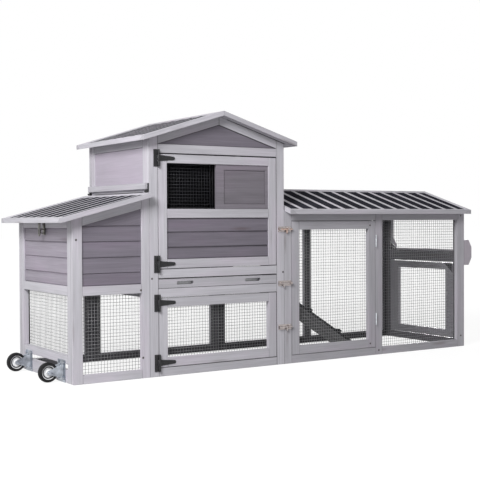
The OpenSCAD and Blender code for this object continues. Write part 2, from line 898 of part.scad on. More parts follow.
module handle() {
    x0 = frame_length + seam;
    x1 = frame_length + handle_out;
    z1 = handle_z + handle_h;
    color(paint) place() {
        front_and_back() xz_piece(0, lath_t, [
            [x0, handle_z], [x1 - handle_cham_x, handle_z], [x1, handle_z + handle_cham_z],
            [x1, z1 - handle_cham_z], [x1 - handle_cham_x, z1], [x0, z1]
        ]);
        y_bar(x1 - grip_inset - grip_d / 2, y_in, y_out, handle_z + handle_h / 2, grip_d / 2);
    }
}

// Hardware

// Outer knuckles and pin of a hinge along Z, for a middle knuckle of the given height
module fixed_knuckles(height, middle, radius, pin) {
    end_h = (height - middle) / 2 - knuckle_play;
    for (z = [-height / 2, height / 2 - end_h])
        translate([0, 0, z]) cylinder(r = radius, h = end_h);
    translate([0, 0, -height / 2]) cylinder(r = pin, h = height);
}

// Middle knuckle of a hinge along Z, with its bore
module moving_knuckle(middle, radius, pin) {
    translate([0, 0, -middle / 2]) difference() {
        cylinder(r = radius, h = middle);
        translate([0, 0, -middle]) cylinder(r = pin + pin_clear, h = 3 * middle);
    }
}

// Plate of a T-hinge on the post, with its axis at the origin and the wood towards +Y
module t_hinge_plate() {
    back = -door_axis_y - seam;
    tab_z = strap_h / 2 + knuckle_play;
    notch = knuckle_r + knuckle_play;
    fixed_knuckles(plate_h, strap_h, knuckle_r, hinge_pin_r);
    translate([0, back, 0]) rotate([90, 0, 0]) linear_extrude(height = hinge_t) difference() {
        polygon([
            [-plate_w, -plate_h / 2], [0, -plate_h / 2], [0, -tab_z], [-notch, -tab_z],
            [-notch, tab_z], [0, tab_z], [0, plate_h / 2], [-plate_w, plate_h / 2]
        ]);
        for (z = [-plate_h / 3, 0, plate_h / 3])
            translate([-(plate_w + notch) / 2, z]) circle(r = screw_hole_r);
    }
}

// Strap of a T-hinge on the door
module t_hinge_strap() {
    back = -door_axis_y - seam;
    moving_knuckle(strap_h, knuckle_r, hinge_pin_r);
    translate([0, back, 0]) rotate([90, 0, 0]) linear_extrude(height = hinge_t) difference() {
        union() {
            polygon([
                [0, -strap_h / 2], [strap_len - strap_tip, -strap_tip / 2],
                [strap_len - strap_tip, strap_tip / 2], [0, strap_h / 2]
            ]);
            translate([strap_len - strap_tip, 0]) circle(d = strap_tip);
        }
        for (x = [strap_len / 4, strap_len / 2, strap_len - strap_tip])
            translate([x, 0]) circle(r = screw_hole_r);
    }
}

upper_hinges = [door_z0 + door_rail_w / 2, door_z1 - door_rail_w / 2];
lower_hinges = [low_z0 + door_rail_w / 2, low_z1 - door_rail_w / 2];

// Sets a lid hinge's pin along Y at the front end of the lid, and its mirror image at the back end
module at_lid_hinges() {
    front_and_back() translate([lid_axis_x, lid_hinge_y, lid_axis_z]) children();
}

// Pin, end knuckle and wall leaf of a lid hinge, with the pin's end at the origin
module lid_wall_leaf() {
    wall = x_tower - lid_axis_x - seam;
    y_bar(0, 0, lid_hinge_w, 0, hinge_pin_r);
    y_bar(0, 0, lid_lug_w, 0, knuckle_r);
    difference() {
        board([wall - hinge_t, 0, 0], [wall, lid_lug_w, lid_leaf]);
        for (z = [lid_leaf / 2, lid_leaf - lid_lug_w / 2])
            x_bar(0, 2 * wall, lid_lug_w / 2, z, screw_hole_r);
    }
}

module hinge_plates() {
    color(black) place() {
        for (z = concat(upper_hinges, lower_hinges))
            translate([door_axis_x, door_axis_y, z]) t_hinge_plate();
        at_lid_hinges() lid_wall_leaf();
    }
}

run_hinges = [sill_h + door_gap + butt_inset_low, z_run_head - door_gap - butt_inset_top];
butt_middle = butt_h / 3;
butt_r = hinge_pin_r + 2 * butt_t;

// One leaf of a run door hinge, on the post side or on the door side of the gap
module butt_leaf_plate(side, z0, z1) {
    x = side * (door_gap / 2 - butt_t / 2);
    board([x - butt_t / 2, 0, z0], [x + butt_t / 2, butt_leaf - run_axis_y, z1]);
}

module run_hinge_leaves() {
    half = butt_middle / 2 + knuckle_play;
    color(zinc) place() for (z = run_hinges)
        translate([run_axis_x, run_axis_y, z]) {
            fixed_knuckles(butt_h, butt_middle, butt_r, hinge_pin_r);
            butt_leaf_plate(1, half, butt_h / 2);
            butt_leaf_plate(1, -butt_h / 2, -half);
            translate([0, butt_r + knuckle_play, 0]) intersection() {
                butt_leaf_plate(1, -butt_h / 2, butt_h / 2);
                board([0, 0, -butt_h], [door_gap, butt_leaf - run_axis_y - butt_r - knuckle_play, butt_h]);
            }
        }
}

bolt_y = -(bolt_stand + bolt_r);
bolt_mid = x_run + door_gap;

// Runs a bolt's parts towards -X at a height, or towards +X where the bolt is flipped
module at_bolt(z, flipped) {
    translate([bolt_mid, 0, z]) mirror([flipped ? 1 : 0, 0, 0]) children();
}

// Plate of a barrel bolt with its two guides
module bolt_plate() {
    outer = bolt_r + bolt_guide_wall;
    half = bolt_plate_l / 2;
    board([-half, -seam - bolt_plate_t, -bolt_plate_h / 2], [half, -seam, bolt_plate_h / 2]);
    for (x = [-half, half - bolt_guide_set - bolt_guide_l])
        translate([x, 0, 0]) rotate([90, 0, 90]) linear_extrude(height = bolt_guide_l) difference() {
            union() {
                translate([bolt_y, 0]) circle(r = outer);
                translate([bolt_y, -outer]) square([-bolt_y - seam - bolt_plate_t / 2, 2 * outer]);
            }
            translate([bolt_y, 0]) circle(r = bolt_r + pin_clear);
        }
}

// Sliding rod of a barrel bolt with its drop knob, drawn back
module bolt_rod() {
    tip = -bolt_plate_l / 2 + seam;
    knob_x = bolt_plate_l / 2 - bolt_guide_set - bolt_guide_l - bolt_knob_r - door_gap;
    translate([tip, bolt_y, 0]) rotate([0, 90, 0]) cylinder(r = bolt_r, h = bolt_len);
    translate([knob_x, bolt_y, -bolt_knob_l]) {
        cylinder(r = bolt_knob_r, h = bolt_knob_l);
        sphere(r = bolt_knob_r);
    }
}

module bolt_plates() {
    color(zinc) place() {
        at_bolt(bolt_upper_z, false) bolt_plate();
        at_bolt(bolt_run_z, true) bolt_plate();
        at_bolt(bolt_lower_z, false) bolt_plate();
    }
}

module bolt_upper() {
    color(zinc) place() at_bolt(bolt_upper_z, false) bolt_rod();
}

module bolt_run() {
    color(zinc) place() at_bolt(bolt_run_z, true) bolt_rod();
}

module bolt_lower() {
    color(zinc) place() at_bolt(bolt_lower_z, false) bolt_rod();
}

// Casters

// A round bar along X from x0 to x1
module x_bar(x0, x1, y, z, radius) {
    translate([x0, y, z]) rotate([0, 90, 0]) cylinder(r = radius, h = x1 - x0);
}

// A round bar along Y from y0 to y1
module y_bar(x, y0, y1, z, radius) {
    translate([x, y0, z]) rotate([-90, 0, 0]) cylinder(r = radius, h = y1 - y0);
}

fork_half = wheel_w / 2 + fork_clear + fork_t;

// Bolting plate, two tapered cheeks and the axle of one caster, with its middle at y
module caster_fork(y) {
    low = wheel_z - fork_boss_r;
    board([-fork_t - seam, y - fork_plate_w / 2, seam], [-seam, y + fork_plate_w / 2, fork_plate_h]);
    for (side = [-fork_half, fork_half - fork_t])
        xz_piece(y + side, y + side + fork_t, [
            [-fork_t, low / 2], [-fork_t, z_end_rail], [-caster_out, wheel_z + fork_boss_r],
            [-caster_out - fork_boss_r, wheel_z + fork_boss_r / 2],
            [-caster_out - fork_boss_r, wheel_z - fork_boss_r / 2], [-caster_out, low]
        ]);
    y_bar(-caster_out, y - fork_half, y + fork_half, wheel_z, axle_d / 2);
    for (s = [-1, 1])
        y_bar(-caster_out, y + s * fork_half - fork_t, y + s * fork_half + fork_t, wheel_z, axle_head_d / 2);
    for (by = [-fork_bolt_y, fork_bolt_y], bz = [fork_bolt_z, fork_plate_h - fork_bolt_edge])
        x_bar(-2 * fork_t - seam, -seam, y + by, bz, fork_bolt_d / 2);
}

module caster_forks() {
    color(zinc) place() {
        caster_fork(caster_inset);
        caster_fork(frame_depth - caster_inset);
    }
}

module at_wheel(y) {
    translate([-caster_out, y, wheel_z]) rotate([90, 0, 0]) children();
}

// Dished hub with a bore for the axle
module wheel_hub() {
    hub_r = wheel_d / 2 - tyre_t - seam;
    bore_r = axle_d / 2 + pin_clear;
    web = hub_web_t / 2;
    rim = hub_rim_w / 2;
    rotate_extrude() polygon([
        [bore_r, -wheel_w / 2], [hub_boss_r, -wheel_w / 2], [hub_boss_r + web, -web], [hub_r - web, -web],
        [hub_r - web / 2, -rim], [hub_r, -rim], [hub_r, rim], [hub_r - web / 2, rim],
        [hub_r - web, web], [hub_boss_r + web, web], [hub_boss_r, wheel_w / 2], [bore_r, wheel_w / 2]
    ]);
}

// Tyre with a crowned tread
module wheel_tyre() {
    inner = wheel_d / 2 - tyre_t;
    outer = wheel_d / 2;
    half = wheel_w / 2;
    tread = half - 3 / 2 * tyre_crown;
    rotate_extrude() polygon([
        [inner, -half], [outer - tyre_crown, -half], [outer, -tread],
        [outer, tread], [outer - tyre_crown, half], [inner, half]
    ]);
}

module wheel_front_hub() {
    color(zinc) place() at_wheel(caster_inset) wheel_hub();
}

module wheel_front_tyre() {
    color(black) place() at_wheel(caster_inset) wheel_tyre();
}

module wheel_rear_hub() {
    color(zinc) place() at_wheel(frame_depth - caster_inset) wheel_hub();
}

module wheel_rear_tyre() {
    color(black) place() at_wheel(frame_depth - caster_inset) wheel_tyre();
}

// Nest lid

module lid_strip(x0, x1, y0, y1, n0, n1) {
    low = n0 / lid_cos;
    high = n1 / lid_cos;
    xz_piece(y0, y1, [
        [x0, lid_under(x0) + low], [x1, lid_under(x1) + low],
        [x1, lid_under(x1) + high], [x0, lid_under(x0) + high]
    ]);
}

lid_in_x0 = -lid_over + edge_w + seam;
lid_in_x1 = lid_x1 - edge_w - seam;
lid_in_y0 = roof_y0 + edge_w + seam;
lid_in_y1 = roof_y1 - edge_w - seam;

module lid_sheet() {
    color(felt) place() lid_strip(lid_in_x0, lid_in_x1, lid_in_y0, lid_in_y1, 0, sheet_t);
}

module lid_boards() {
    color(paint) place() {
        lid_strip(-lid_over, lid_x1, roof_y0, roof_y0 + edge_w, 0, edge_t);
        lid_strip(-lid_over, lid_x1, roof_y1 - edge_w, roof_y1, 0, edge_t);
        lid_strip(-lid_over, -lid_over + edge_w, lid_in_y0, lid_in_y1, 0, edge_t);
        lid_strip(lid_x1 - edge_w, lid_x1, lid_in_y0, lid_in_y1, 0, edge_t);
        for (y = batten_rows(lid_in_y0, lid_in_y1))
            lid_strip(
                lid_in_x0, lid_in_x1, y - batten_w / 2, y + batten_w / 2,
                sheet_t + seam, sheet_t + batten_h
            );
    }
}

// Bored knuckle and leaf of a lid hinge, on the lid's rear edge
module lid_leaf_plate() {
    y0 = lid_lug_w + knuckle_play;
    rear = lid_x1 - lid_axis_x + seam;
    low = lid_under(x_tower) - lid_axis_z;
    difference() {
        y_bar(0, y0, lid_hinge_w, 0, knuckle_r);
        y_bar(0, 0, 2 * lid_hinge_w, 0, hinge_pin_r + pin_clear);
    }
    board([rear, y0, low], [rear + hinge_t, lid_hinge_w, -(hinge_pin_r + knuckle_r) / 2]);
}

module lid_leaves() {
    color(black) place() at_lid_hinges() lid_leaf_plate();
}

// Hasp

hasp_middle = hasp_w / 2;
hasp_t = hinge_t;

// Plate under the lid, with outer knuckles and pin for the hasp leaf
module hasp_hinge() {
    half = hasp_w / 2;
    reach = 2 * hasp_knuckle_r;
    lug_y = hasp_middle / 2 + knuckle_play;
    color(zinc) place() {
        lid_strip(-hasp_out - reach, -hasp_out + reach, y_mid - half, y_mid + half, -hasp_t, -seam);
        translate([-hasp_out, y_mid, hasp_axis_z]) rotate([90, 0, 0])
            fixed_knuckles(hasp_w, hasp_middle, hasp_knuckle_r, hasp_pin_r);
        for (y = [y_mid - half, y_mid + lug_y])
            board(
                [-hasp_out - hasp_pin_r, y, hasp_axis_z],
                [-hasp_out + hasp_pin_r, y + half - lug_y, hasp_axis_z + hasp_drop - hasp_t / 2]
            );
    }
}

// Hanging leaf with a slot that goes over the staple
module hasp_leaf() {
    clear = hasp_knuckle_r + knuckle_play;
    half = hasp_w / 2;
    root = (hasp_pin_r + hasp_knuckle_r) / 2;
    corner = staple_bend;
    slot_half = staple_r + door_gap;
    slot_low = staple_drop + staple_bend + staple_r + door_gap;
    slot_high = staple_drop - staple_bend - staple_r - door_gap;
    color(zinc) place() translate([-hasp_out, y_mid, hasp_axis_z]) {
        rotate([90, 0, 0]) moving_knuckle(hasp_middle, hasp_knuckle_r, hasp_pin_r);
        translate([-hasp_t / 2, 0, 0]) rotate([90, 0, 90]) linear_extrude(height = hasp_t) difference() {
            polygon([
                [-hasp_middle / 2, -root], [-hasp_middle / 2, -clear], [-half, -clear],
                [-half, corner - hasp_len], [corner - half, -hasp_len], [half - corner, -hasp_len],
                [half, corner - hasp_len], [half, -clear], [hasp_middle / 2, -clear],
                [hasp_middle / 2, -root]
            ]);
            translate([-slot_half, -slot_low]) square([2 * slot_half, slot_low - slot_high]);
        }
    }
}

// Base plate on the nest's top rail, with a bent wire staple
module hasp_staple() {
    z = hasp_axis_z - staple_drop;
    half = hasp_w / 2;
    leg = staple_reach - staple_bend - staple_r;
    color(zinc) place() {
        board(
            [-hasp_t - seam, y_mid - half, z - 2 * staple_bend],
            [-seam, y_mid + half, hasp_axis_z - hasp_drop / 2]
        );
        for (s = [-1, 1])
            x_bar(-leg, -seam - hasp_t / 2, y_mid, z + s * staple_bend, staple_r);
        translate([-leg, y_mid, z]) rotate([90, 0, 0]) rotate([0, 0, 90])
            rotate_extrude(angle = 180) translate([staple_bend, 0]) circle(r = staple_r);
    }
}

// Upper door

module door_stile(x, z0, z1) {
    board([x, 0, z0], [x + post_w, lath_t, z1]);
}

module door_rail(x0, x1, z) {
    board([x0 + post_w + seam, 0, z], [x1 - post_w - seam, lath_t, z + door_rail_w]);
}

// Groove for the shutter's tongue, cut into a rail from z0 to z1
module shutter_groove(z0, z1) {
    board(
        [win_x0, tongue_y0 - shutter_clear, z0],
        [win_x1, tongue_y0 + tongue_t + shutter_clear, z1]
    );
}

module upper_door_frame() {
    deep = tongue_h + 2 * shutter_clear;
    color(paint) place() {
        for (x = [door_x0, win_x1])
            door_stile(x, door_z0, door_z1);
        door_rail(door_x0, door_x1, door_z0);
        difference() {
            door_rail(door_x0, door_x1, win_z0 - door_rail_w);
            shutter_groove(win_z0 - deep, win_z0 + deep);
        }
        difference() {
            door_rail(door_x0, door_x1, win_z1);
            shutter_groove(win_z1 - deep, win_z1 + deep);
        }
    }
}

module upper_door_siding() {
    z0 = door_z0 + door_rail_w;
    color(taupe) place() siding(win_x0 + seam, win_x1 - seam, z0, z0 + door_siding_h);
}

module upper_door_net() {
    color(net_grey) place() front_net(win_x0, win_x1, win_z0, win_z1);
}

module upper_door_straps() {
    color(black) place() for (z = upper_hinges)
        translate([door_axis_x, door_axis_y, z]) t_hinge_strap();
}

shutter_x1 = win_x1 - shutter_clear;
shutter_x0 = shutter_x1 - shutter_w;

module shutter_frame() {
    z0 = win_z0 + shutter_clear;
    z1 = win_z1 - shutter_clear;
    y1 = shutter_y0 + shutter_t;
    in_x0 = shutter_x0 + shutter_lead;
    in_x1 = shutter_x1 - shutter_trail;
    color(taupe) place() {
        board([shutter_x0, shutter_y0, z0], [in_x0, y1, z1]);
        board([in_x1, shutter_y0, z0], [shutter_x1, y1, z1]);
        for (z = [z0, z1 - shutter_rail])
            board([in_x0 + seam, shutter_y0, z], [in_x1 - seam, y1, z + shutter_rail]);
        for (z = [z0 - tongue_h, z1])
            board([shutter_x0, tongue_y0, z], [shutter_x1, tongue_y0 + tongue_t, z + tongue_h]);
    }
}

module shutter_panel() {
    edge = shutter_rail + shutter_clear + seam;
    color(taupe) place()
        board(
            [shutter_x0 + shutter_lead + seam, tongue_y0, win_z0 + edge],
            [shutter_x1 - shutter_trail - seam, tongue_y0 + tongue_t, win_z1 - edge]
        );
}

// Tray

tray_x0 = x_tower + post_w + tray_clear;
tray_x1 = x_run - post_w - tray_clear;

// Cutters for the two round-ended handholds in the front board
module tray_handholds() {
    deep = tray_front_t + 2 * lath_t;
    for (s = [-1, 1])
        translate([x_mid + s * slot_span / 2, deep - lath_t, z_tray + tray_open_h / 2])
            rotate([90, 0, 0])
            linear_extrude(height = deep) {
                square([slot_len - slot_h, slot_h], center = true);
                for (e = [-1, 1])
                    translate([e * (slot_len - slot_h) / 2, 0]) circle(d = slot_h);
            }
}

module tray_front() {
    color(paint) place() difference() {
        board(
            [tray_x0, 0, z_tray + tray_clear],
            [tray_x1, tray_front_t, z_house_rail - tray_clear]
        );
        tray_handholds();
    }
}

module tray_pan() {
    low = [tray_x0, tray_front_t + seam, z_tray + body_gap];
    size = [tray_x1 - tray_x0, tray_pan_d, tray_pan_h];
    walls = [2 * tray_wall, 2 * tray_wall, 0];
    color(zinc) place() difference() {
        translate(low) cube(size);
        translate(low + [tray_wall, tray_wall, tray_wall]) cube(size - walls);
    }
}

// Lower door

module lower_door_frame() {
    color(paint) place() {
        for (x = [door_x0, win_x1])
            door_stile(x, low_z0, low_z1);
        door_rail(door_x0, door_x1, low_z0);
        door_rail(door_x0, door_x1, low_z1 - door_rail_w);
    }
}

module lower_door_net() {
    color(net_grey) place() front_net(win_x0, win_x1, low_z0 + door_rail_w, low_z1 - door_rail_w);
}

module lower_door_straps() {
    color(black) place() for (z = lower_hinges)
        translate([door_axis_x, door_axis_y, z]) t_hinge_strap();
}

// Run door

run_door_x1 = x_run_door + run_door_w;
run_door_z0 = sill_h + door_gap;
run_door_z1 = z_run_head - door_gap;

module run_door_frame() {
    color(paint) place() {
        for (x = [x_run_door, run_door_x1 - post_w])
            door_stile(x, run_door_z0, run_door_z1);
        door_rail(x_run_door, run_door_x1, run_door_z0);
        door_rail(x_run_door, run_door_x1, run_door_z1 - door_rail_w);
    }
}

module run_door_net() {
    color(net_grey) place()
        front_net(
            x_run_door + post_w, run_door_x1 - post_w,
            run_door_z0 + door_rail_w, run_door_z1 - door_rail_w
        );
}

module run_door_leaves() {
    half = butt_middle / 2;
    color(zinc) place() for (z = run_hinges)
        translate([run_axis_x, run_axis_y, z]) {
            moving_knuckle(butt_middle, butt_r, hinge_pin_r);
            difference() {
                butt_leaf_plate(-1, -half, half);
                translate([0, 0, -half]) cylinder(r = hinge_pin_r + pin_clear, h = butt_middle);
            }
        }
}

// Ramp

rod_half = ramp_w / 2 + ramp_rod_out;

// Rod for the ramp, held off the wall by two ears
module ramp_rod() {
    ear = 2 * ramp_rod_r;
    color(black) place() {
        y_bar(ramp_x, y_mid - rod_half, y_mid + rod_half, ramp_z, ramp_rod_r);
        for (s = [-1, 1])
            xz_piece(y_mid + s * rod_half - ear / 2, y_mid + s * rod_half + ear / 2, [
                [x_run + seam, ramp_z - ear], [ramp_x, ramp_z - ear], [ramp_x + ear, ramp_z],
                [ramp_x, ramp_z + ear], [x_run + seam, ramp_z + ear]
            ]);
    }
}

// Local X runs down the ramp from the rod
module on_ramp() {
    translate([ramp_x, y_mid, ramp_z]) rotate([0, ramp_angle, 0]) children();
}

module ramp_board() {
    start = 2 * ramp_rod_r;
    color(dark_stain) place() on_ramp() {
        board([start, -ramp_w / 2, -ramp_t / 2], [ramp_len, ramp_w / 2, ramp_t / 2]);
        for (x = [cleat_pitch / 2 : cleat_pitch : ramp_len - cleat_w])
            board(
                [x, -ramp_w / 2, ramp_t / 2 + seam],
                [x + cleat_w, ramp_w / 2, ramp_t / 2 + seam + cleat_h]
            );
    }
}

// Two eyes under the ramp's head that hang it on its rod
module ramp_hooks() {
    eye_r = 2 * ramp_rod_r - seam;
    eye_w = 3 * ramp_rod_r;
    under = ramp_t / 2 + seam;
    color(black) place() on_ramp() for (s = [-1, 1])
        translate([0, s * ramp_w / 3 - eye_w / 2, 0]) {
            difference() {
                union() {
                    y_bar(0, 0, eye_w, 0, eye_r);
                    board([0, 0, -under - hinge_t], [ramp_hook_len, eye_w, -under]);
                }
                y_bar(0, -eye_w, 2 * eye_w, 0, ramp_rod_r + pin_clear);
            }
        }
}

left_front_frame();
left_back_frame();
left_end_frame();
left_siding();
left_nets();
nest_floor();
caster_board();
tower_front_frame();
tower_back_frame();
tower_side_frames();
tower_side_panels();
tower_back_siding();
tower_net();
gable_panels();
tray_runners();
tower_roof_sheets();
tower_roof_boards();
run_front_frame();
run_back_frame();
run_end_frame();
run_end_panel();
run_nets();
run_roof_sheets();
run_roof_boards();
handle();
caster_forks();
hinge_plates();
run_hinge_leaves();
bolt_plates();
hasp_staple();
ramp_rod();
lid_sheet();
lid_boards();
lid_leaves();
hasp_hinge();
hasp_leaf();
upper_door_frame();
upper_door_siding();
upper_door_net();
upper_door_straps();
shutter_frame();
shutter_panel();
tray_front();
tray_pan();
lower_door_frame();
lower_door_net();
lower_door_straps();
run_door_frame();
run_door_net();
run_door_leaves();
bolt_upper();
bolt_run();
bolt_lower();
wheel_front_hub();
wheel_front_tyre();
wheel_rear_hub();
wheel_rear_tyre();
ramp_board();
ramp_hooks();
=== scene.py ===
"""Looks of the chicken tractor: painted laths with grain, welded nets, dark felt roofs and zinc hardware."""

import json
import math
import random

import bmesh
import bpy
from mathutils import Matrix, Vector


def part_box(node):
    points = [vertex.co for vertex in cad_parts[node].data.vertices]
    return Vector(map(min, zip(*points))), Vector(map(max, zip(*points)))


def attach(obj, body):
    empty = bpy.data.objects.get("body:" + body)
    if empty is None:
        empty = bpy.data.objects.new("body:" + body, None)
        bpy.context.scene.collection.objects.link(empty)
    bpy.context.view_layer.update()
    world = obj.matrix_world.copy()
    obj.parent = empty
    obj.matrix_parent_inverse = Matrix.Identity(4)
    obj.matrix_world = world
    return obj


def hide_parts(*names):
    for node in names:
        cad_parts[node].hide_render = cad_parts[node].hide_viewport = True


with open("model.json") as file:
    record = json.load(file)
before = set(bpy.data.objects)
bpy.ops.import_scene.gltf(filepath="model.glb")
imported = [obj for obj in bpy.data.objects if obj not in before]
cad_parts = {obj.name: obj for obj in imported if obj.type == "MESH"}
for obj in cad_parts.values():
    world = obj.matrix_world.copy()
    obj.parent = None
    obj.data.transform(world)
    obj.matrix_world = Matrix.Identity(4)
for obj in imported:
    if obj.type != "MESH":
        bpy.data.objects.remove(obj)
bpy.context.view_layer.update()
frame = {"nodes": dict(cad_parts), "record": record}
scene = bpy.context.scene
record = frame["record"]
body_of = {node: body for body, nodes in record["behaviour"]["bodies"].items() for node in nodes}
SEED = 4
rng = random.Random(SEED)

# Sizes are in metres and angles in radians

X, Y, Z = range(3)
DOWN = Vector((0, 0, -1))
FRONT = Vector((0, -1, 0))
LEFT = Vector((-1, 0, 0))
ORIGIN = Vector((0, 0, 0))

# Meshes: least cosines between a face and the way it looks, and directions that no lath or rod follows
WELD = 1e-6
FLAT_ANGLE = math.radians(1)
SHARP_ANGLE = math.radians(25)
ROUND_SEGMENTS = 2
WOOD_ROUND, PLANK_ROUND, METAL_ROUND = 0.0013, 0.0022, 0.0003
FACING, END_ON, SLOPING = 0.5, 0.9, 0.1
LATH_ASKEW, ROD_ASKEW = Vector((0.31, 0.52, 0.79)), Vector((0.2, 0.5, 0.84))

# Laths: how far grain and tint differ from one to the next, and the digits to which lengths are compared
GRAIN_SHIFT, TINT_STEP = 9, 1
LENGTH_DIGITS = 6
# Laths shorter than this, the corner blocks, take the full painted shade on their inner faces
BLOCK_LONG = 0.060
SLOT_IN = 0.003
SEAM_MAX = 0.001
# The tongues take a darker tint as painted shade in the seams between planks
TONGUE_DEEP, TONGUE_THICK, TONGUE_SHADE_TINT = 0.004, 0.003, 4.0
STOP_LOW, STOP_HIGH = Vector((0.0142, -0.2537, 0.592)), Vector((0.4683, -0.2457, 0.607))
PANEL_DROP = 0.0027
DOOR_TRIM, TRAY_TRIM = 0.0020, 0.0025
SLOT_TALLER = 1.3

# Roofs
BATTEN_TALL, BATTEN_CUT = 0.0045, 0.003
BORDER, BORDER_CUT = 0.036, 0.024
SHEET_TALL, SHEET_LIFT = 0.010, 0.008

# Nets
NET_PITCH = 0.0127
NET_WIRE, FAR_WIRE = 0.0014, 0.0005
NET_SEAM = 0.0005
FAR_Y, FAR_X = 0.2, 0.9
ROD_SIDES = 6

# Holes in the hinges and bolts, where their screws sit
HINGE_SHEET = 0.002
KNUCKLE_R = 0.0046
PLATE_HOLE_IN = 0.0075
PLATE_HOLES = (1 / 6, 1 / 2, 5 / 6)
STRAP_HOLES = (0.020, 0.040, 0.067)
LID_LEAF_HOLES = (0.020, 0.031)
BOLT_SHEET = 0.0016
BOLT_HOLES = (-0.020, 0.027)
BOLT_HOLE_UP = 0.007
BOLT_WAYS = (1, -1, 1)

# Screws in the front faces, along the length from the middle and up from the ground
FRAME_SCREWS = ((-0.964, 0.534), (-0.699, 0.338), (-0.691, 0.079), (-0.651, 0.380), (-0.034, 0.386),
                (0.490, 0.020), (1.000, 0.051), (1.000, 0.620))
RUN_DOOR_SCREWS = ((0.440, 0.578), (0.440, 0.053))
FRAME_SCREW_R, SCREW_R, SMALL_SCREW_R = 0.0042, 0.0034, 0.0023

# Rings of a screw head and its cross recess, as shares of its radius, each with how far it stands proud
SCREW_RINGS = ((1.00, -0.05), (0.94, 0.18), (0.72, 0.30), (0.56, 0.32), (0.30, 0.33))
SCREW_SIDES = 16
CROSS_WIDE, CROSS_PROUD, CROSS_ARMS = 0.6, 0.08, 4

# Casters, and half profiles of their wheels as shares of the wheel's radius and half width
FORK_SHEET = 0.0025
FORK_BOLT_Y = 0.025
FORK_BOLT_LOW, FORK_BOLT_HIGH = 0.016, 0.075
FORK_NUT_R, FORK_NUT_H = 0.0066, 0.0042
TYRE_HALF = ((0.71, 1.00), (0.74, 1.00), (0.80, 0.97), (0.83, 0.90), (0.93, 0.86), (0.98, 0.62), (1.00, 0.25))
HUB_HALF = ((0.108, 1.00), (0.21, 1.00), (0.25, 0.80), (0.27, 0.45), (0.40, 0.40), (0.44, 0.62), (0.48, 0.66),
            (0.50, 0.40), (0.61, 0.40), (0.64, 0.82), (0.70, 0.84))
GROOVE_IN, GROOVE_OUT = 0.48, 0.63
WHEEL_STEPS = 64

# Camera solved from the photograph
CAMERA_AT = Vector((-2.442, -3.660, 0.604))
CAMERA_YAW = math.radians(32.95)
CAMERA_PITCH = math.radians(1.15)
CAMERA_ROLL = math.radians(-0.28)
FOCAL_PIXELS = 994.2
FRAME_PIXELS = 480
SENSOR = 36.0

# Stage and light
FLOOR_SIZE, FLOOR_Z = 60, -0.0005
FLOOR_GREY, FLOOR_ROUGH = (0.55, 0.55, 0.55), 0.9
WHITE = (1.0, 1.0, 1.0)
GLOW_SHARE = 0.70
NEAR_GLOW, FAR_GLOW = 1.29, 1.38
SHADOW_SPAN = (1.6, 4.0)
WORLD_LIGHT, WORLD_WHITE = 0.25, 1.0
KEY_AT, KEY_AIM = Vector((-3.2, -2.15, 2.7)), Vector((-0.4, 0.0, 0.5))
KEY_SIZE, KEY_POWER = 1.8, 166
SUN_FROM = Vector((5.2, 4.4, 0.4))
SUN_SPREAD, SUN_POWER = math.radians(12), 3.0

# Colours, linear
PAINT = (0.575, 0.562, 0.608)
# Handle paint, darker than the frame paint as painted shade where the light falls off to the right
HANDLE_SHADED_PAINT = (0.513, 0.475, 0.528)
TAUPE = (0.205, 0.186, 0.224)
SHUTTER_TAUPE = (0.240, 0.220, 0.252)
PALE_TAUPE = (0.490, 0.443, 0.520)
# Painted shade: colour of faces that look into a bay, of undersides, and of slot and doorway walls
INNER_SHADE = (0.058, 0.056, 0.063)
# Near-black ramp: a dark stain, deepened as painted shade inside the run
RAMP_DARK = (0.016, 0.016, 0.019)
KNOT = (0.090, 0.050, 0.045)
FELT = (0.031, 0.031, 0.039)
WIRE_GREY = (0.240, 0.240, 0.250)
# Paler grey of the far nets: painted light on the same wire as the near nets
FAR_LIT_GREY = (0.700, 0.700, 0.710)
# Near-black wire for the upper door's net: painted shade, as that net lies in the tower's shade
WIRE_IN_SHADE = (0.020, 0.020, 0.026)
BLACK = (0.016, 0.016, 0.018)
ZINC = (0.620, 0.640, 0.670)
# Darker zinc on the casters, whose wide blotches stand in as painted shade and highlights
SHADED_CASTER_ZINC = (0.420, 0.450, 0.500)
PAN_GREY = (0.540, 0.545, 0.555)
# Dark hasp: painted shade under the eave and painted dark and bright reflections of the plating
SHADED_HASP_GREY = (0.105, 0.100, 0.090)
PLATE_COPPER = (0.440, 0.395, 0.385)
BOLT_COPPER = (0.560, 0.410, 0.350)
DARK_STEEL = (0.110, 0.100, 0.100)
RUBBER = (0.012, 0.012, 0.013)
HUB = (0.850, 0.855, 0.870)
HUB_GROOVE = (0.070, 0.070, 0.076)

# Span that holds most of a noise's values
MOST = (0.3, 0.7)

# Wood: scales of its noises along and across the grain, spans of their values, and changes of brightness
FIBRE_SCALE, FIBRE_SPAN, FIBRE_SHADES = (7.0, 240.0, 240.0), (0.35, 0.70), (0.06, -0.10)
STROKE_SCALE, STROKE_SPAN, STROKE_SHADES = (2.2, 55.0, 55.0), (0.36, 0.66), (0.03, -0.07)
PATCH_SCALE, PATCH_SPAN, PATCH_SHADES = (3.0, 11.0, 11.0), (0.36, 0.68), (-0.04, 0.07)
TINT_SPAN, TINT_SHADES = (-1.0, 9.0), (0.05, -0.55)
KNOT_SCALE, KNOT_SPAN, KNOT_SHARE = (2.6, 17.0, 17.0), (0.05, 0.16), 0.34
BLUSH, BLUSH_SPAN, BLUSH_SHARE = (1.0, 0.90, 0.98), (0.50, 0.72), 0.5
# Edges and joints darkened: partly dirt, partly painted shade
EDGE_DARK_SPAN, EDGE_DARK_MOST, EDGE_DARK_LEAST, EDGE_DARK_TONE = (0.40, 0.62), 0.45, 0.15, 0.45
END_SHARE, END_SHADE = 0.30, 0.55
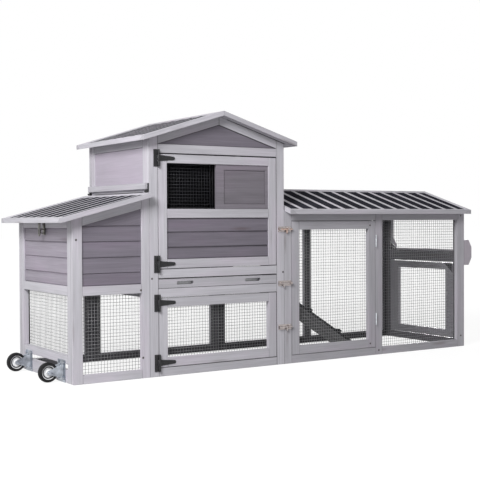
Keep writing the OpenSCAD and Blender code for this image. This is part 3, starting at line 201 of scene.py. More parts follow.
# Darker fibres within the painted shade on inner faces
INNER_SHADE_FIBRES = 0.6
GLOSS_LOW, GLOSS_HIGH = -0.08, 0.10
FIBRE_RELIEF, STROKE_RELIEF = 0.7, 0.5

# Felt, wire, rubber and plastic: shades of their colours, and the spans and shares of what lies on them
FELT_DARK, FELT_LIGHT, FELT_GRIT = 0.75, 1.5, 2.4
GRIT_SPAN, GRIT_SHARE, FLECK_SHARE = (0.45, 0.75), 0.7, 0.15
WIRE_DULL, WIRE_BRIGHT = 0.85, 1.12
DUST_SPAN, DUST_SHARE, DUST_SHADE = (0.45, 0.75), 0.4, 3.0
PLASTIC_DULL, PLASTIC_BRIGHT = 0.86, 1.06

# Metal: scale of its scratches across and along
SCRATCH_SCALE = (900.0, 900.0, 120.0)


# Shader helpers

def new_material(name):
    material = bpy.data.materials.new(name)
    material.use_nodes = True
    return material, material.node_tree, material.node_tree.nodes["Principled BSDF"]


def plug(tree, socket, value):
    """Links a socket's value into an input, or sets a number or colour there."""
    if isinstance(value, bpy.types.NodeSocket):
        tree.links.new(value, socket)
    elif isinstance(value, tuple) and socket.type == "RGBA":
        socket.default_value = (*value[:3], 1.0)
    else:
        socket.default_value = value


def add(tree, kind, **inputs):
    """A shader node with its input sockets set to values or linked from other sockets."""
    node = tree.nodes.new(kind)
    for name, value in inputs.items():
        plug(tree, node.inputs[name.replace("_", " ")], value)
    return node


def attribute(tree, name, output="Fac"):
    node = tree.nodes.new("ShaderNodeAttribute")
    node.attribute_name = name
    return node.outputs[output]


def object_vector(tree):
    return tree.nodes.new("ShaderNodeTexCoord").outputs["Object"]


def stretch(tree, vector, scale):
    return add(tree, "ShaderNodeMapping", Vector=vector, Scale=scale).outputs["Vector"]


def noise(tree, vector, scale=1.0, detail=3.0, roughness=0.55):
    node = add(tree, "ShaderNodeTexNoise", Vector=vector, Scale=scale, Detail=detail, Roughness=roughness)
    return node.outputs["Fac"]


def cells(tree, vector, scale, output):
    return add(tree, "ShaderNodeTexVoronoi", Vector=vector, Scale=scale).outputs[output]


def remap(tree, value, span, to_low=0.0, to_high=1.0):
    """A value's place in a span, carried over to another range and held within it."""
    node = add(tree, "ShaderNodeMapRange", Value=value, From_Min=span[0], From_Max=span[1],
               To_Min=to_low, To_Max=to_high)
    return node.outputs["Result"]


def mix(tree, factor, first, second, mode="MIX"):
    """Blend of two colours, each a socket or three numbers."""
    node = tree.nodes.new("ShaderNodeMix")
    node.data_type = "RGBA"
    node.blend_type = mode
    values = {"Factor": factor, "A": first, "B": second}
    for socket in node.inputs:
        if socket.enabled and socket.name in values:
            plug(tree, socket, values[socket.name])
    return next(socket for socket in node.outputs if socket.enabled)


def maths(tree, operation, first, second):
    node = tree.nodes.new("ShaderNodeMath")
    node.operation = operation
    plug(tree, node.inputs[0], first)
    plug(tree, node.inputs[1], second)
    return node.outputs["Value"]


def times(tree, first, second):
    return maths(tree, "MULTIPLY", first, second)


def finish_shader(tree, shader, colour, rough, height, strength, distance):
    """Colour, roughness and bump of a surface, from sockets."""
    tree.links.new(colour, shader.inputs["Base Color"])
    tree.links.new(rough, shader.inputs["Roughness"])
    relief = add(tree, "ShaderNodeBump", Height=height, Strength=strength, Distance=distance)
    tree.links.new(relief.outputs["Normal"], shader.inputs["Normal"])


def shade(colour, factor):
    return tuple(channel * factor for channel in colour)


# Materials

def painted_wood(name, colour, stain=INNER_SHADE, pale=None, contrast=1.0, gloss=0.5, edge_dirt_and_shade=1.0):
    """Thin satin paint with fibres, knots and brush strokes, dirt and painted shade at edges, painted shade
    inside.
    """
    material, tree, shader = new_material(name)
    along = attribute(tree, "grain", "Vector")
    fibre = noise(tree, stretch(tree, along, FIBRE_SCALE), detail=5.0)
    stroke = noise(tree, stretch(tree, along, STROKE_SCALE))
    patch = noise(tree, stretch(tree, along, PATCH_SCALE), detail=2.0)
    from_knot = cells(tree, stretch(tree, along, KNOT_SCALE), 1.0, "Distance")

    def brightness(value, span, shades):
        return remap(tree, value, span, *(1.0 + change * contrast for change in shades))

    strokes = times(tree, brightness(fibre, FIBRE_SPAN, FIBRE_SHADES),
                    brightness(stroke, STROKE_SPAN, STROKE_SHADES))
    patches = times(tree, brightness(patch, PATCH_SPAN, PATCH_SHADES),
                    brightness(attribute(tree, "tint"), TINT_SPAN, TINT_SHADES))
    body = mix(tree, attribute(tree, "pale"), colour, pale) if pale else colour
    body = mix(tree, 1.0, body, times(tree, strokes, patches), "MULTIPLY")
    body = mix(tree, remap(tree, patch, BLUSH_SPAN, 0.0, BLUSH_SHARE * contrast), body, BLUSH, "MULTIPLY")
    body = mix(tree, remap(tree, from_knot, KNOT_SPAN, KNOT_SHARE * contrast, 0.0), body, KNOT)
    # Darker edges: dirt, and painted shade in the joints
    edge_dark = remap(tree, patch, EDGE_DARK_SPAN, EDGE_DARK_MOST * edge_dirt_and_shade, EDGE_DARK_LEAST * edge_dirt_and_shade)
    body = mix(tree, times(tree, attribute(tree, "edge"), edge_dark), body, shade(colour, EDGE_DARK_TONE))
    body = mix(tree, times(tree, attribute(tree, "cut"), END_SHARE), body, shade(colour, END_SHADE))
    # Painted shade on the faces that look into a bay, with darker fibres
    dark = mix(tree, remap(tree, fibre, FIBRE_SPAN), stain, shade(stain, INNER_SHADE_FIBRES))
    body = mix(tree, attribute(tree, "inner"), body, dark)
    rough = remap(tree, stroke, MOST, gloss + GLOSS_LOW, gloss + GLOSS_HIGH)
    relief = maths(tree, "ADD", times(tree, fibre, FIBRE_RELIEF), times(tree, stroke, STROKE_RELIEF))
    finish_shader(tree, shader, body, rough, relief, strength=0.35, distance=0.0006)
    shader.inputs["Specular IOR Level"].default_value = 0.30
    return material


def roof_felt():
    """Dark mineral felt with fine granules and faint weather streaks."""
    material, tree, shader = new_material("roof_felt")
    place = object_vector(tree)
    grit = noise(tree, place, scale=900.0, detail=2.0, roughness=0.7)
    cloud = noise(tree, place, scale=7.0, detail=4.0)
    base = mix(tree, remap(tree, cloud, MOST), shade(FELT, FELT_DARK), shade(FELT, FELT_LIGHT))
    base = mix(tree, remap(tree, grit, GRIT_SPAN, to_high=GRIT_SHARE), base, shade(FELT, FELT_GRIT))
    base = mix(tree, FLECK_SHARE, base, cells(tree, place, 520.0, "Color"), "SOFT_LIGHT")
    rough = remap(tree, grit, MOST, to_low=0.78, to_high=0.98)
    finish_shader(tree, shader, base, rough, grit, strength=0.6, distance=0.0008)
    shader.inputs["Specular IOR Level"].default_value = 0.0
    return material


def metal(name, colour, rough, metallic=1.0, scale=60.0, relief=0.05, dull=0.80, bright=1.10):
    """Plated or coated metal with blotchy gloss, fine scratches and a slight change of colour, wide on the
    casters and the hasp as painted shade and highlights.
    """
    material, tree, shader = new_material(name)
    place = object_vector(tree)
    cloud = noise(tree, place, scale=scale, detail=4.0)
    fine = noise(tree, stretch(tree, place, SCRATCH_SCALE), detail=2.0)
    base = mix(tree, remap(tree, cloud, MOST), shade(colour, dull), shade(colour, bright))
    average = times(tree, maths(tree, "ADD", cloud, fine), 0.5)
    dullness = remap(tree, average, MOST, *rough)
    finish_shader(tree, shader, base, dullness, fine, strength=relief, distance=0.0003)
    shader.inputs["Metallic"].default_value = metallic
    return material


def net_wire(name, colour, far):
    """Galvanised wire with dull and bright stretches, paler on the far nets as painted light."""
    material, tree, shader = new_material(name)
    place = object_vector(tree)
    cloud = noise(tree, place, scale=25.0, detail=3.0)
    fine = noise(tree, place, scale=700.0, detail=2.0)
    base = mix(tree, attribute(tree, "far"), colour, far)
    base = mix(tree, 1.0, base, remap(tree, cloud, MOST, WIRE_DULL, WIRE_BRIGHT), "MULTIPLY")
    rough = remap(tree, fine, MOST, to_low=0.4, to_high=0.6)
    finish_shader(tree, shader, base, rough, fine, strength=0.1, distance=0.0002)
    return material


def rubber():
    """Matte tyre rubber with dust in its pores."""
    material, tree, shader = new_material("tyre_rubber")
    place = object_vector(tree)
    dust = noise(tree, place, scale=45.0, detail=5.0)
    pores = noise(tree, place, scale=1500.0, detail=2.0)
    base = mix(tree, remap(tree, dust, DUST_SPAN, to_high=DUST_SHARE), RUBBER, shade(RUBBER, DUST_SHADE))
    rough = remap(tree, dust, MOST, to_low=0.55, to_high=0.8)
    finish_shader(tree, shader, base, rough, pores, strength=0.25, distance=0.0004)
    shader.inputs["Specular IOR Level"].default_value = 0.2
    return material


def moulded(name, colour, groove):
    """Moulded plastic with a faint pebbled skin and a darker ring in its groove."""
    material, tree, shader = new_material(name)
    place = object_vector(tree)
    cloud = noise(tree, place, scale=30.0, detail=3.0)
    skin = noise(tree, place, scale=1200.0, detail=1.0)
    base = mix(tree, remap(tree, cloud, MOST), shade(colour, PLASTIC_DULL), shade(colour, PLASTIC_BRIGHT))
    base = mix(tree, attribute(tree, "groove"), base, groove)
    rough = remap(tree, cloud, MOST, to_low=0.32, to_high=0.48)
    finish_shader(tree, shader, base, rough, skin, strength=0.12, distance=0.0002)
    return material


PAINTED = painted_wood("light_paint", PAINT, edge_dirt_and_shade=1.5)
HANDLE = painted_wood("handle_paint_shaded", HANDLE_SHADED_PAINT)
PLANKS = painted_wood("taupe_paint", TAUPE, pale=PALE_TAUPE, contrast=1.1, edge_dirt_and_shade=2.0)
PANELS = painted_wood("smooth_panel_paint", TAUPE, pale=PALE_TAUPE, contrast=0.6)
SHUTTER = painted_wood("shutter_paint", SHUTTER_TAUPE, contrast=1.2)
# Ramp in a dark stain deepened as painted shade
RAMP_WOOD = painted_wood("dark_ramp_stain", RAMP_DARK, RAMP_DARK, contrast=1.6, gloss=0.6)
ROOF = roof_felt()
WIRE = net_wire("net_wire", WIRE_GREY, FAR_LIT_GREY)
# Wire darkened as painted shade
SHADED_WIRE = net_wire("shaded_net_wire", WIRE_IN_SHADE, WIRE_IN_SHADE)
BLACK_STEEL = metal("black_steel", BLACK, rough=(0.38, 0.62), metallic=0.2, scale=90.0, relief=0.12)
ZINC_STEEL = metal("zinc_steel", ZINC, rough=(0.28, 0.50))
# Wide dark and bright blotches as painted shade and highlights
CASTER_STEEL = metal("shaded_caster_zinc", SHADED_CASTER_ZINC, rough=(0.25, 0.50), scale=45.0, dull=0.55, bright=1.25)
PAN_STEEL = metal("pan_steel", PAN_GREY, rough=(0.45, 0.65), metallic=0.5)
# Dark, widely blotched metal as painted shade and reflections
HASP_STEEL = metal("shaded_hasp_steel", SHADED_HASP_GREY, rough=(0.20, 0.42), scale=140.0, dull=0.5, bright=1.5)
PLATE_STEEL = metal("bolt_plate_zinc", PLATE_COPPER, rough=(0.25, 0.45), scale=120.0, dull=0.65, bright=1.20)
BOLT_STEEL = metal("bolt_copper", BOLT_COPPER, rough=(0.22, 0.42), scale=120.0, dull=0.65, bright=1.25)
SCREW_STEEL = metal("screw_steel", DARK_STEEL, rough=(0.35, 0.55), metallic=0.6)
TYRE = rubber()
HUB_PLASTIC = moulded("hub_plastic", HUB, HUB_GROOVE)


# Middles of the three bays

def middle(*nodes):
    """Middle of the box round some CAD nodes."""
    corners = [Vector(corner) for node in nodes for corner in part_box(node)]
    return sum(corners, ORIGIN) / len(corners)


NEST = middle("left_front_frame", "left_back_frame")
TOWER = middle("tower_front_frame", "tower_back_frame")
RUN = middle("run_front_frame", "run_back_frame")


# Mesh helpers

def islands(bm):
    """Connected groups of vertices, in the mesh's own order."""
    for vert in bm.verts:
        vert.tag = False
    groups = []
    for seed in bm.verts:
        if seed.tag:
            continue
        seed.tag = True
        group = [seed]
        for vert in group:
            for edge in vert.link_edges:
                other = edge.other_vert(vert)
                if not other.tag:
                    other.tag = True
                    group.append(other)
        groups.append(group)
    return groups


def extent(verts):
    low = Vector([min(vert.co[i] for vert in verts) for i in range(3)])
    high = Vector([max(vert.co[i] for vert in verts) for i in range(3)])
    return low, high


def flat_copy(node):
    """A bmesh of a CAD node, with its triangles joined into flat faces."""
    bm = bmesh.new()
    bm.from_mesh(frame["nodes"][node].data)
    bmesh.ops.remove_doubles(bm, verts=bm.verts, dist=WELD)
    bmesh.ops.dissolve_limit(bm, angle_limit=FLAT_ANGLE, verts=bm.verts, edges=bm.edges)
    return bm


def solid_boxes(node):
    """Lowest and highest corners of each solid in a CAD node."""
    bm = flat_copy(node)
    boxes = [extent(group) for group in islands(bm)]
    bm.free()
    return boxes


def wall_axes(low, high):
    """Axes across and along an upright wall."""
    return (X, Y) if high.x - low.x < high.y - low.y else (Y, X)


def add_box(bm, low, high):
    made = bmesh.ops.create_cube(bm, size=1.0)
    for vert in made["verts"]:
        vert.co = (low + high) / 2 + Vector([vert.co[i] * (high[i] - low[i]) for i in range(3)])


def show(name, bm, material, node, stands_in=True):
    """Turns a bmesh into a piece with the given material that rides with a CAD node's body, in the node's
    place or on it.
    """
    mesh = bpy.data.meshes.new(name)
    bm.to_mesh(mesh)
    bm.free()
    mesh.materials.append(material)
    piece = bpy.data.objects.new(name, mesh)
    scene.collection.objects.link(piece)
    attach(piece, body_of[node])
    if stands_in:
        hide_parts(node)


def is_sharp(edge):
    return edge.is_manifold and edge.calc_face_angle() > SHARP_ANGLE


def round_edges(bm, radius):
    """Rounds the sharp edges and returns the new narrow faces."""
    sharp = [edge for edge in bm.edges if is_sharp(edge)]
    made = bmesh.ops.bevel(bm, geom=sharp, offset=radius, segments=ROUND_SEGMENTS, profile=0.5,
                           affect="EDGES", clamp_overlap=True)
    for face in made["faces"]:
        face.smooth = True
    return made["faces"]


# Timber

def inner_side(low, high, inside):
    """Unit vector across a lath's thinnest side, towards the middle of its bay."""
    axis = min(range(3), key=lambda i: high[i] - low[i])
    side = Vector((0, 0, 0))
    side[axis] = math.copysign(1.0, inside[axis] - (low[axis] + high[axis]) / 2)
    return side


def slim_borders(bm, low, high):
    """Narrows a roof's edge and ridge boards at the top, with all that meets their inner edges there.

    low and high are the corners of the box round the boards.
    """
    for vert in bm.verts:
        flat = max((face.normal for face in vert.link_faces), key=lambda normal: normal.z).copy()
        if flat.z < FACING:
            continue
        for axis in (X, Y):
            edges = [(low[axis] + BORDER, -BORDER_CUT), (high[axis] - BORDER, BORDER_CUT)]
            if abs(flat[axis]) > SLOPING:
                ridge = (low[axis] + high[axis]) / 2
                edges += [(ridge + BORDER, -BORDER_CUT), (ridge - BORDER, BORDER_CUT)]
            for edge, way in edges:
                if abs(vert.co[axis] - edge) < SEAM_MAX:
                    vert.co[axis] += way
                    vert.co.z -= way * flat[axis] / flat.z


def lift_thin(bm, limit, cut=0.0):
    """Lifts and marks a roof's solids that are thinner than a limit, and cuts some height off their tops."""
    mark = bm.verts.layers.float.new("batten")
    for group in islands(bm):
        upper = {face for vert in group for face in vert.link_faces if face.normal.z > FACING}
        top = max(upper, key=lambda face: face.calc_area())
        out = top.normal.copy()
        heights = [vert.co.dot(out) for vert in group]
        if max(heights) - min(heights) < limit:
            for vert in group:
                vert[mark] = 1.0
                vert.co += out * SHEET_LIFT
            for vert in top.verts:
                vert.co -= out * cut


def is_slot_wall(face, low, high):
    """True for a face inside the outline of an upright frame or board that looks along it and not out."""
    at = face.calc_center_median()
    within = all(low[i] + SLOT_IN < at[i] < high[i] - SLOT_IN for i in (X, Z))
    return within and abs(face.normal.y) < FACING


def dress(bm, inside=None, stain=1.0, reveal=0.0, pale=0.0, darker=0.0, battens=None, radius=WOOD_ROUND):
    """Gives laths rounded edges, grain and end grain, and painted shade on the faces that look into the bay.

    inside is the middle of the bay, DOWN for a roof, or None. The next two arguments give the depth of the
    painted shade there and on the walls of slots and doorways. pale is the share of pale paint on laths that
    look left. darker is how far the tint is below the usual paint, and the batten argument the same for thin
    battens, darker as painted shade and lighter on the run roof as painted light; only roof boards have them.
    """
    outline = extent(bm.verts)
    bm.normal_update()
    if battens is not None:
        slim_borders(bm, *outline)
        lift_thin(bm, BATTEN_TALL, BATTEN_CUT)
    thin = bm.verts.layers.float.get("batten")
    dark_edge_layer, inner, cut = (bm.faces.layers.float.new(name) for name in ("edge", "inner", "cut"))
    # Rounded edges take the darker edge colour: dirt and painted shade
    for face in round_edges(bm, radius):
        face[dark_edge_layer] = 1.0
    bm.normal_update()
    grain = bm.verts.layers.float_vector.new("grain")
    tint, light = (bm.verts.layers.float.new(name) for name in ("tint", "pale"))
    bm.edges.index_update()
    for group in islands(bm):
        low, high = extent(group)
        edges = {edge.index: edge for vert in group for edge in vert.link_edges}
        longest = max((edges[key] for key in sorted(edges)),
                      key=lambda edge: round(edge.calc_length(), LENGTH_DIGITS))
        along = (longest.verts[1].co - longest.verts[0].co).normalized()
        side = along.cross(LATH_ASKEW).normalized()
        turn = Matrix((along, side, along.cross(side)))
        shift = Vector([rng.uniform(0, GRAIN_SHIFT) for _ in range(3)])
        # Roof battens get their own tint: darker as painted shade, lighter on the run roof as painted light
        own_tint = rng.uniform(-TINT_STEP, TINT_STEP) + (battens if thin and group[0][thin] else darker)
        # Corner blocks take the full painted shade, other laths the given depth
        depth = 1.0 if max(high - low) < BLOCK_LONG else stain
        looks_left = high.x - low.x < min(high.y - low.y, high.z - low.z) and high.x < TOWER.x
        for vert in group:
            vert[grain] = turn @ vert.co + shift
            vert[tint] = own_tint
            vert[light] = pale if looks_left else 0.0
        # Painted shade on faces that look inwards, and on the walls of slots and doorways
        inward = inside if inside is None or inside == DOWN else inner_side(low, high, inside)
        for face in {face for vert in group for face in vert.link_faces}:
            face[cut] = 1.0 if abs(face.normal.dot(along)) > END_ON else 0.0
            if inward and face.normal.dot(inward) > FACING:
                face[inner] = depth
            elif is_slot_wall(face, *outline):
                face[inner] = reveal


def wooden(node, material, inside=None, drop=0.0, trim=0.0, slots=1.0, **look):
    """A CAD node's laths, dressed, with lowest edges dropped, highest ones trimmed and slots made taller."""
    bm = flat_copy(node)
    low, high = extent(bm.verts)
    half_up = (low.z + high.z) / 2
    for vert in bm.verts:
        if vert.co.z < low.z + WELD:
            vert.co.z -= drop
        elif vert.co.z > high.z - WELD:
            vert.co.z -= trim
        elif slots != 1.0:
            vert.co.z = half_up + (vert.co.z - half_up) * slots
    dress(bm, inside, **look)
    show(f"{node}_wood", bm, material, node)


def tongues(node, material):
    """Hidden tongues that close the seams between the planks of a wall."""
    bm = bmesh.new()
    boxes = solid_boxes(node)
    for low, high in boxes:
        thin, wide = wall_axes(low, high)
        for under_low, under_high in boxes:
            beside = under_low[wide] < high[wide] and low[wide] < under_high[wide]
            level = abs(under_low[thin] - low[thin]) < SEAM_MAX
            if beside and level and abs(under_high.z - low.z) < SEAM_MAX:
                start, end = low.copy(), high.copy()
                start[thin] = (low[thin] + high[thin] - TONGUE_THICK) / 2
                end[thin] = start[thin] + TONGUE_THICK
                start[wide] += TONGUE_DEEP
                end[wide] -= TONGUE_DEEP
                start.z, end.z = low.z - TONGUE_DEEP, low.z + TONGUE_DEEP
                add_box(bm, start, end)
    # Darker tint as painted shade in the seams
    dress(bm, darker=TONGUE_SHADE_TINT, radius=METAL_ROUND)
    show(f"{node}_tongues", bm, material, node, stands_in=False)


# Nets

def add_rod(bm, start, end, radius, smooth=True):
    """A straight wire or a hexagon head with closed ends."""
    along = (end - start).normalized()
    side = along.cross(ROD_ASKEW).normalized()
    up = along.cross(side)
    angles = [2 * math.pi * i / ROD_SIDES for i in range(ROD_SIDES)]
    spokes = [math.cos(angle) * side + math.sin(angle) * up for angle in angles]
    rings = [[bm.verts.new(centre + radius * spoke) for spoke in spokes] for centre in (start, end)]
    for i in range(ROD_SIDES):
        j = (i + 1) % ROD_SIDES
        bm.faces.new((rings[0][i], rings[0][j], rings[1][j], rings[1][i])).smooth = smooth
    bm.faces.new(rings[0][::-1])
    bm.faces.new(rings[1])
    return rings[0] + rings[1]


def spaced(low, high, pitch):
    """Even steps from low to high, both ends included."""
    count = max(1, round((high - low) / pitch))
    return [low + (high - low) * i / count for i in range(count + 1)]


def joined_boxes(node, gap):
    """Boxes round the groups of a CAD node's solids that lie within a gap of each other."""
    boxes = []
    for low, high in solid_boxes(node):
        apart = []
        for other_low, other_high in boxes:
            if all(low[i] < other_high[i] + gap and other_low[i] < high[i] + gap for i in range(3)):
                low = Vector(map(min, low, other_low))
                high = Vector(map(max, high, other_high))
            else:
                apart.append((other_low, other_high))
        boxes = apart + [(low, high)]
    return boxes


def welded_net(node, material):
    """Welded wires over each rectangle that a CAD net covers, thinner and marked on the far sides."""
    bm = bmesh.new()
    distant = bm.verts.layers.float.new("far")
    for low, high in joined_boxes(node, NET_SEAM):
        far = low.y > FAR_Y or low.x > FAR_X
        half = (FAR_WIRE if far else NET_WIRE) / 2
        flat, across = wall_axes(low, high)
        level = (low[flat] + high[flat]) / 2
        depth = {across: level - half, Z: level + half}
        for run, step in ((Z, across), (across, Z)):
            for value in spaced(low[step] + half, high[step] - half, NET_PITCH):
                start, end = low.copy(), high.copy()
                start[step] = end[step] = value
                start[flat] = end[flat] = depth[run]
                for vert in add_rod(bm, start, end, half):
                    vert[distant] = float(far)
    show(f"{node}_wires", bm, material, node)


# Hardware

def hardware(node, material):
    """A CAD node's metal with slightly broken edges and smooth rounds."""
    bm = flat_copy(node)
    for face in bm.faces:
        face.smooth = True
    round_edges(bm, METAL_ROUND)
    show(f"{node}_metal", bm, material, node)


def add_screw(bm, place, out, radius):
    """A domed screw head with a cross recess, on a face that looks out."""
    turn = out.to_track_quat("Z", "Y").to_matrix()
    rings = []
    for ring, height in SCREW_RINGS:
        row = []
        for i in range(SCREW_SIDES):
            angle = 2 * math.pi * i / SCREW_SIDES
            in_cross = ring < CROSS_WIDE and i % (SCREW_SIDES // CROSS_ARMS) == 0
            proud = CROSS_PROUD if in_cross else height
            spot = Vector((ring * math.cos(angle), ring * math.sin(angle), proud))
            row.append(bm.verts.new(place + turn @ (spot * radius)))
        rings.append(row)
    for outer, within in zip(rings, rings[1:]):
        for i in range(SCREW_SIDES):
            j = (i + 1) % SCREW_SIDES
            bm.faces.new((outer[i], outer[j], within[j], within[i])).smooth = True
    bm.faces.new(rings[0][::-1])
    centre = bm.verts.new(place + out * radius * CROSS_PROUD)
    for i in range(SCREW_SIDES):
        bm.faces.new((rings[-1][i], rings[-1][(i + 1) % SCREW_SIDES], centre))


def screws(name, node, places, out, radius, material):
    """Screw heads that ride with a CAD node."""
    bm = bmesh.new()
    for place in places:
        add_screw(bm, Vector(place), out, radius)
    show(name, bm, material, node, stands_in=False)


def lathe(name, half, radius, width, centre, material, node):
    """A turned piece round an axle along Y, from half of its profile."""
    profile = [(ring, -height) for ring, height in half] + [(ring, height) for ring, height in reversed(half)]
    bm = bmesh.new()
    groove = bm.verts.layers.float.new("groove")
    verts = [bm.verts.new((ring * radius, height * width / 2, 0.0)) for ring, height in profile]
    edges = [bm.edges.new((verts[i], verts[(i + 1) % len(verts)])) for i in range(len(verts))]
    bmesh.ops.spin(bm, geom=verts + edges, axis=(0, 1, 0), cent=(0, 0, 0), steps=WHEEL_STEPS,
                   angle=2 * math.pi, use_merge=True)
    bmesh.ops.remove_doubles(bm, verts=bm.verts, dist=WELD)
    bmesh.ops.recalc_face_normals(bm, faces=bm.faces)
    for face in bm.faces:
        face.smooth = True
    for edge in bm.edges:
        edge.smooth = not is_sharp(edge)
    for vert in bm.verts:
        from_axle = math.hypot(vert.co.x, vert.co.z) / radius
        vert[groove] = 1.0 if GROOVE_IN < from_axle < GROOVE_OUT else 0.0
    bmesh.ops.translate(bm, vec=centre, verts=bm.verts)
    show(name, bm, material, node)


# Stage, light and camera

def seen_directly(tree):
    """1 for rays from the camera and for those that mirrors and glass send on, else 0."""
    path = tree.nodes.new("ShaderNodeLightPath")
    seen = maths(tree, "MAXIMUM", path.outputs["Is Camera Ray"], path.outputs["Is Glossy Ray"])
    return maths(tree, "MAXIMUM", seen, path.outputs["Is Transmission Ray"])


def white_stage():
    """A white floor that keeps a faint shadow near the object and is plain white further off."""
    bpy.ops.mesh.primitive_plane_add(size=FLOOR_SIZE, location=(0, 0, FLOOR_Z))
    floor = bpy.context.object
    floor.name = "floor"
    material, tree, shader = new_material("white_floor")
    plug(tree, shader.inputs["Base Color"], FLOOR_GREY)
    shader.inputs["Roughness"].default_value = FLOOR_ROUGH
    shader.inputs["Specular IOR Level"].default_value = 0.0
    away = add(tree, "ShaderNodeVectorMath", Vector=object_vector(tree))
    away.operation = "LENGTH"
    glow = remap(tree, away.outputs["Value"], SHADOW_SPAN, NEAR_GLOW, FAR_GLOW)
    light = add(tree, "ShaderNodeEmission", Color=WHITE, Strength=glow)
    blend = tree.nodes.new("ShaderNodeMixShader")
    tree.links.new(times(tree, seen_directly(tree), GLOW_SHARE), blend.inputs["Fac"])
    tree.links.new(shader.outputs["BSDF"], blend.inputs[1])
    tree.links.new(light.outputs["Emission"], blend.inputs[2])
    tree.links.new(blend.outputs["Shader"], tree.nodes["Material Output"].inputs["Surface"])
    floor.data.materials.append(material)


def white_world():
    """A world that looks white and lights the object softly."""
    world = bpy.data.worlds.new("studio")
    world.use_nodes = True
    tree = world.node_tree
    background = tree.nodes["Background"]
    plug(tree, background.inputs["Color"], WHITE)
    strength = remap(tree, seen_directly(tree), (0.0, 1.0), WORLD_LIGHT, WORLD_WHITE)
    tree.links.new(strength, background.inputs["Strength"])
    scene.world = world


def add_lamp(data, power, place, aim):
    data.energy = power
    lamp = bpy.data.objects.new(data.name, data)
    lamp.location = place
    lamp.rotation_euler = (aim - place).to_track_quat("-Z", "Y").to_euler()
    scene.collection.objects.link(lamp)
    return lamp


def key_lamp():
    """Soft light from above on the left."""
    data = bpy.data.lights.new("key", "AREA")
    data.shape = "DISK"
    data.size = KEY_SIZE
    add_lamp(data, KEY_POWER, KEY_AT, KEY_AIM).visible_camera = False


def low_sun():
    """Broad light from far off behind, too low to reach the front slopes of the roofs."""
    data = bpy.data.lights.new("fill", "SUN")
    data.angle = SUN_SPREAD
    add_lamp(data, SUN_POWER, SUN_FROM, ORIGIN)


def photo_camera():
    forward = Vector((math.sin(CAMERA_YAW) * math.cos(CAMERA_PITCH),
                      math.cos(CAMERA_YAW) * math.cos(CAMERA_PITCH), -math.sin(CAMERA_PITCH)))
    level = forward.cross(Vector((0, 0, 1))).normalized()
    right = level * math.cos(CAMERA_ROLL) + level.cross(forward) * math.sin(CAMERA_ROLL)
    up = right.cross(forward)
    data = bpy.data.cameras.new("photo_camera")
    data.sensor_width = SENSOR
    data.lens = FOCAL_PIXELS / FRAME_PIXELS * SENSOR
    camera = bpy.data.objects.new("photo_camera", data)
    turn = Matrix((right, up, -forward)).transposed().to_4x4()
    camera.matrix_world = Matrix.Translation(CAMERA_AT) @ turn
    scene.collection.objects.link(camera)
    scene.camera = camera


# Timber pieces, in an order that the random grain depends on

# Columns: node, middle of its bay, depth of painted shade on its inner faces, and how much darker its tint
# is. The run's front frame and door are darker as painted shade, where the light falls off to the right.
for name, bay, stain, darker in (
    ("left_front_frame", NEST, 1.0, 0), ("left_back_frame", NEST, 0.90, 0), ("left_end_frame", NEST, 0.93, 0),
    ("caster_board", NEST, 1.0, 0), ("nest_floor", DOWN, 1.0, 0), ("tray_runners", DOWN, 1.0, 0),
    ("tower_back_frame", TOWER, 0.92, 0), ("tower_side_frames", TOWER, 1.0, 0),
    ("lower_door_frame", TOWER, 1.0, 0), ("run_front_frame", RUN, 1.0, 2), ("run_back_frame", RUN, 1.0, 0),
    ("run_end_frame", RUN, 0.80, 0), ("run_door_frame", RUN, 1.0, 2),
):
    wooden(name, PAINTED, bay, stain=stain, darker=darker)
# The walls of the doorways in the tower's front and of the slots in the tray's front take painted shade
wooden("tower_front_frame", PAINTED, TOWER, reveal=0.85)
wooden("upper_door_frame", PAINTED, TOWER, trim=DOOR_TRIM)
wooden("tray_front", PAINTED, TOWER, trim=TRAY_TRIM, slots=SLOT_TALLER, reveal=0.25, darker=2.5)
wooden("run_end_panel", PAINTED, RUN, drop=PANEL_DROP, stain=0.35)
# Roof boards get light painted shade on their undersides, and their battens painted shade, painted light on
# the run roof
for name, battens in (("tower_roof_boards", 4), ("run_roof_boards", -1), ("lid_boards", 3)):
    wooden(name, PAINTED, DOWN, stain=0.2, battens=battens)
wooden("handle", HANDLE)
for name, bay, pale in (("left_siding", NEST, 0.46), ("tower_back_siding", TOWER, 0.0),
                        ("upper_door_siding", TOWER, 0.0)):
    wooden(name, PLANKS, bay, pale=pale, radius=PLANK_ROUND)
    tongues(name, PLANKS)
wooden("tower_side_panels", PANELS, TOWER, pale=1.0)
wooden("gable_panels", PLANKS)
wooden("shutter_frame", SHUTTER, TOWER)
wooden("shutter_panel", SHUTTER, TOWER, darker=1.0)
wooden("ramp_board", RAMP_WOOD)

stop = bmesh.new()
add_box(stop, STOP_LOW, STOP_HIGH)
dress(stop, RUN)
show("run_door_stop", stop, PAINTED, "run_front_frame", stands_in=False)

# Roof sheets and nets

for name, boards in (("tower_roof_sheets", "tower_roof_boards"), ("run_roof_sheets", "run_roof_boards"),
                     ("lid_sheet", "lid_boards")):
    sheet = flat_copy(name)
    sheet.normal_update()
    slim_borders(sheet, *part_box(boards))
    lift_thin(sheet, SHEET_TALL)
    show(f"{name}_felt", sheet, ROOF, name)
for name in ("left_nets", "tower_net", "run_nets", "lower_door_net", "run_door_net"):
    welded_net(name, WIRE)
# The upper door's net takes wire darkened as painted shade
welded_net("upper_door_net", SHADED_WIRE)

# Metal pieces

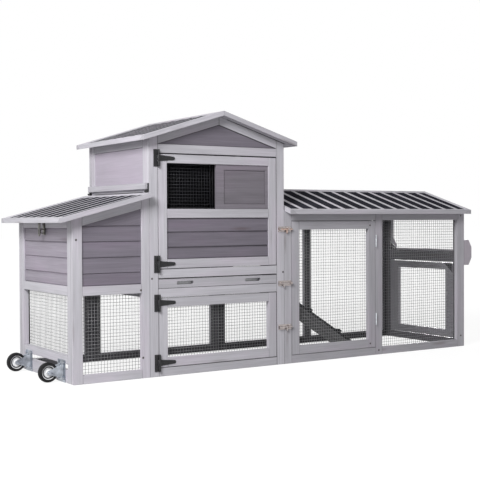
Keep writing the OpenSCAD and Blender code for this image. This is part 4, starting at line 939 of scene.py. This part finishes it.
for material, names in (
    (BLACK_STEEL, ("hinge_plates", "upper_door_straps", "lower_door_straps", "lid_leaves", "ramp_rod",
                   "ramp_hooks")),
    (ZINC_STEEL, ("run_hinge_leaves", "run_door_leaves")),
    (HASP_STEEL, ("hasp_staple", "hasp_leaf", "hasp_hinge")),
    (BOLT_STEEL, ("bolt_upper",)),
    (PLATE_STEEL, ("bolt_run", "bolt_lower", "bolt_plates")),
    (CASTER_STEEL, ("caster_forks",)),
    (PAN_STEEL, ("tray_pan",)),
):
    for name in names:
        hardware(name, material)

# Screws and nuts

front_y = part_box("tower_front_frame")[0][1]
for name, node, spots in (("frame_screws", "tower_front_frame", FRAME_SCREWS),
                          ("run_door_screws", "run_door_frame", RUN_DOOR_SCREWS)):
    screws(name, node, [(x, front_y, z) for x, z in spots], FRONT, FRAME_SCREW_R, SCREW_STEEL)

plate_places, leaf_places = [], []
for low, high in solid_boxes("hinge_plates"):
    if high.y < front_y:
        plate_places += [(low.x + PLATE_HOLE_IN, high.y - HINGE_SHEET, low.z + share * (high.z - low.z))
                         for share in PLATE_HOLES]
    else:
        leaf_places += [(high.x - HINGE_SHEET, (low.y + high.y) / 2, low.z + hole) for hole in LID_LEAF_HOLES]
screws("plate_screws", "hinge_plates", plate_places, FRONT, SCREW_R, BLACK_STEEL)
screws("lid_leaf_screws", "hinge_plates", leaf_places, LEFT, SCREW_R, BLACK_STEEL)
for name in ("upper_door_straps", "lower_door_straps"):
    places = [(low.x + KNUCKLE_R + hole, high.y - HINGE_SHEET, (low.z + high.z) / 2)
              for low, high in solid_boxes(name) for hole in STRAP_HOLES]
    screws(f"{name}_screws", name, places, FRONT, SCREW_R, BLACK_STEEL)

bolt_places = []
for (low, high), way in zip(solid_boxes("bolt_plates"), BOLT_WAYS):
    centre = (low + high) / 2
    bolt_places += [(centre.x + way * hole, high.y - BOLT_SHEET, centre.z + up)
                    for hole in BOLT_HOLES for up in (-BOLT_HOLE_UP, BOLT_HOLE_UP)]
screws("bolt_plate_screws", "bolt_plates", bolt_places, FRONT, SMALL_SCREW_R, PLATE_STEEL)

nuts = bmesh.new()
for low, high in solid_boxes("caster_forks"):
    seat = high.x - FORK_SHEET
    for y in (-FORK_BOLT_Y, FORK_BOLT_Y):
        for z in (FORK_BOLT_LOW, FORK_BOLT_HIGH):
            start = Vector((seat, (low.y + high.y) / 2 + y, z))
            add_rod(nuts, start, start + LEFT * FORK_NUT_H, FORK_NUT_R, smooth=False)
show("caster_nuts", nuts, CASTER_STEEL, "caster_forks", stands_in=False)

# Wheels

for side in ("front", "rear"):
    low, high = (Vector(corner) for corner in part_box(f"wheel_{side}_tyre"))
    radius, width, centre = (high.x - low.x) / 2, high.y - low.y, (low + high) / 2
    lathe(f"wheel_{side}_tyre_turned", TYRE_HALF, radius, width, centre, TYRE, f"wheel_{side}_tyre")
    lathe(f"wheel_{side}_hub_turned", HUB_HALF, radius, width, centre, HUB_PLASTIC, f"wheel_{side}_hub")

white_stage()
white_world()
key_lamp()
low_sun()
photo_camera()
scene.view_settings.view_transform = "Standard"
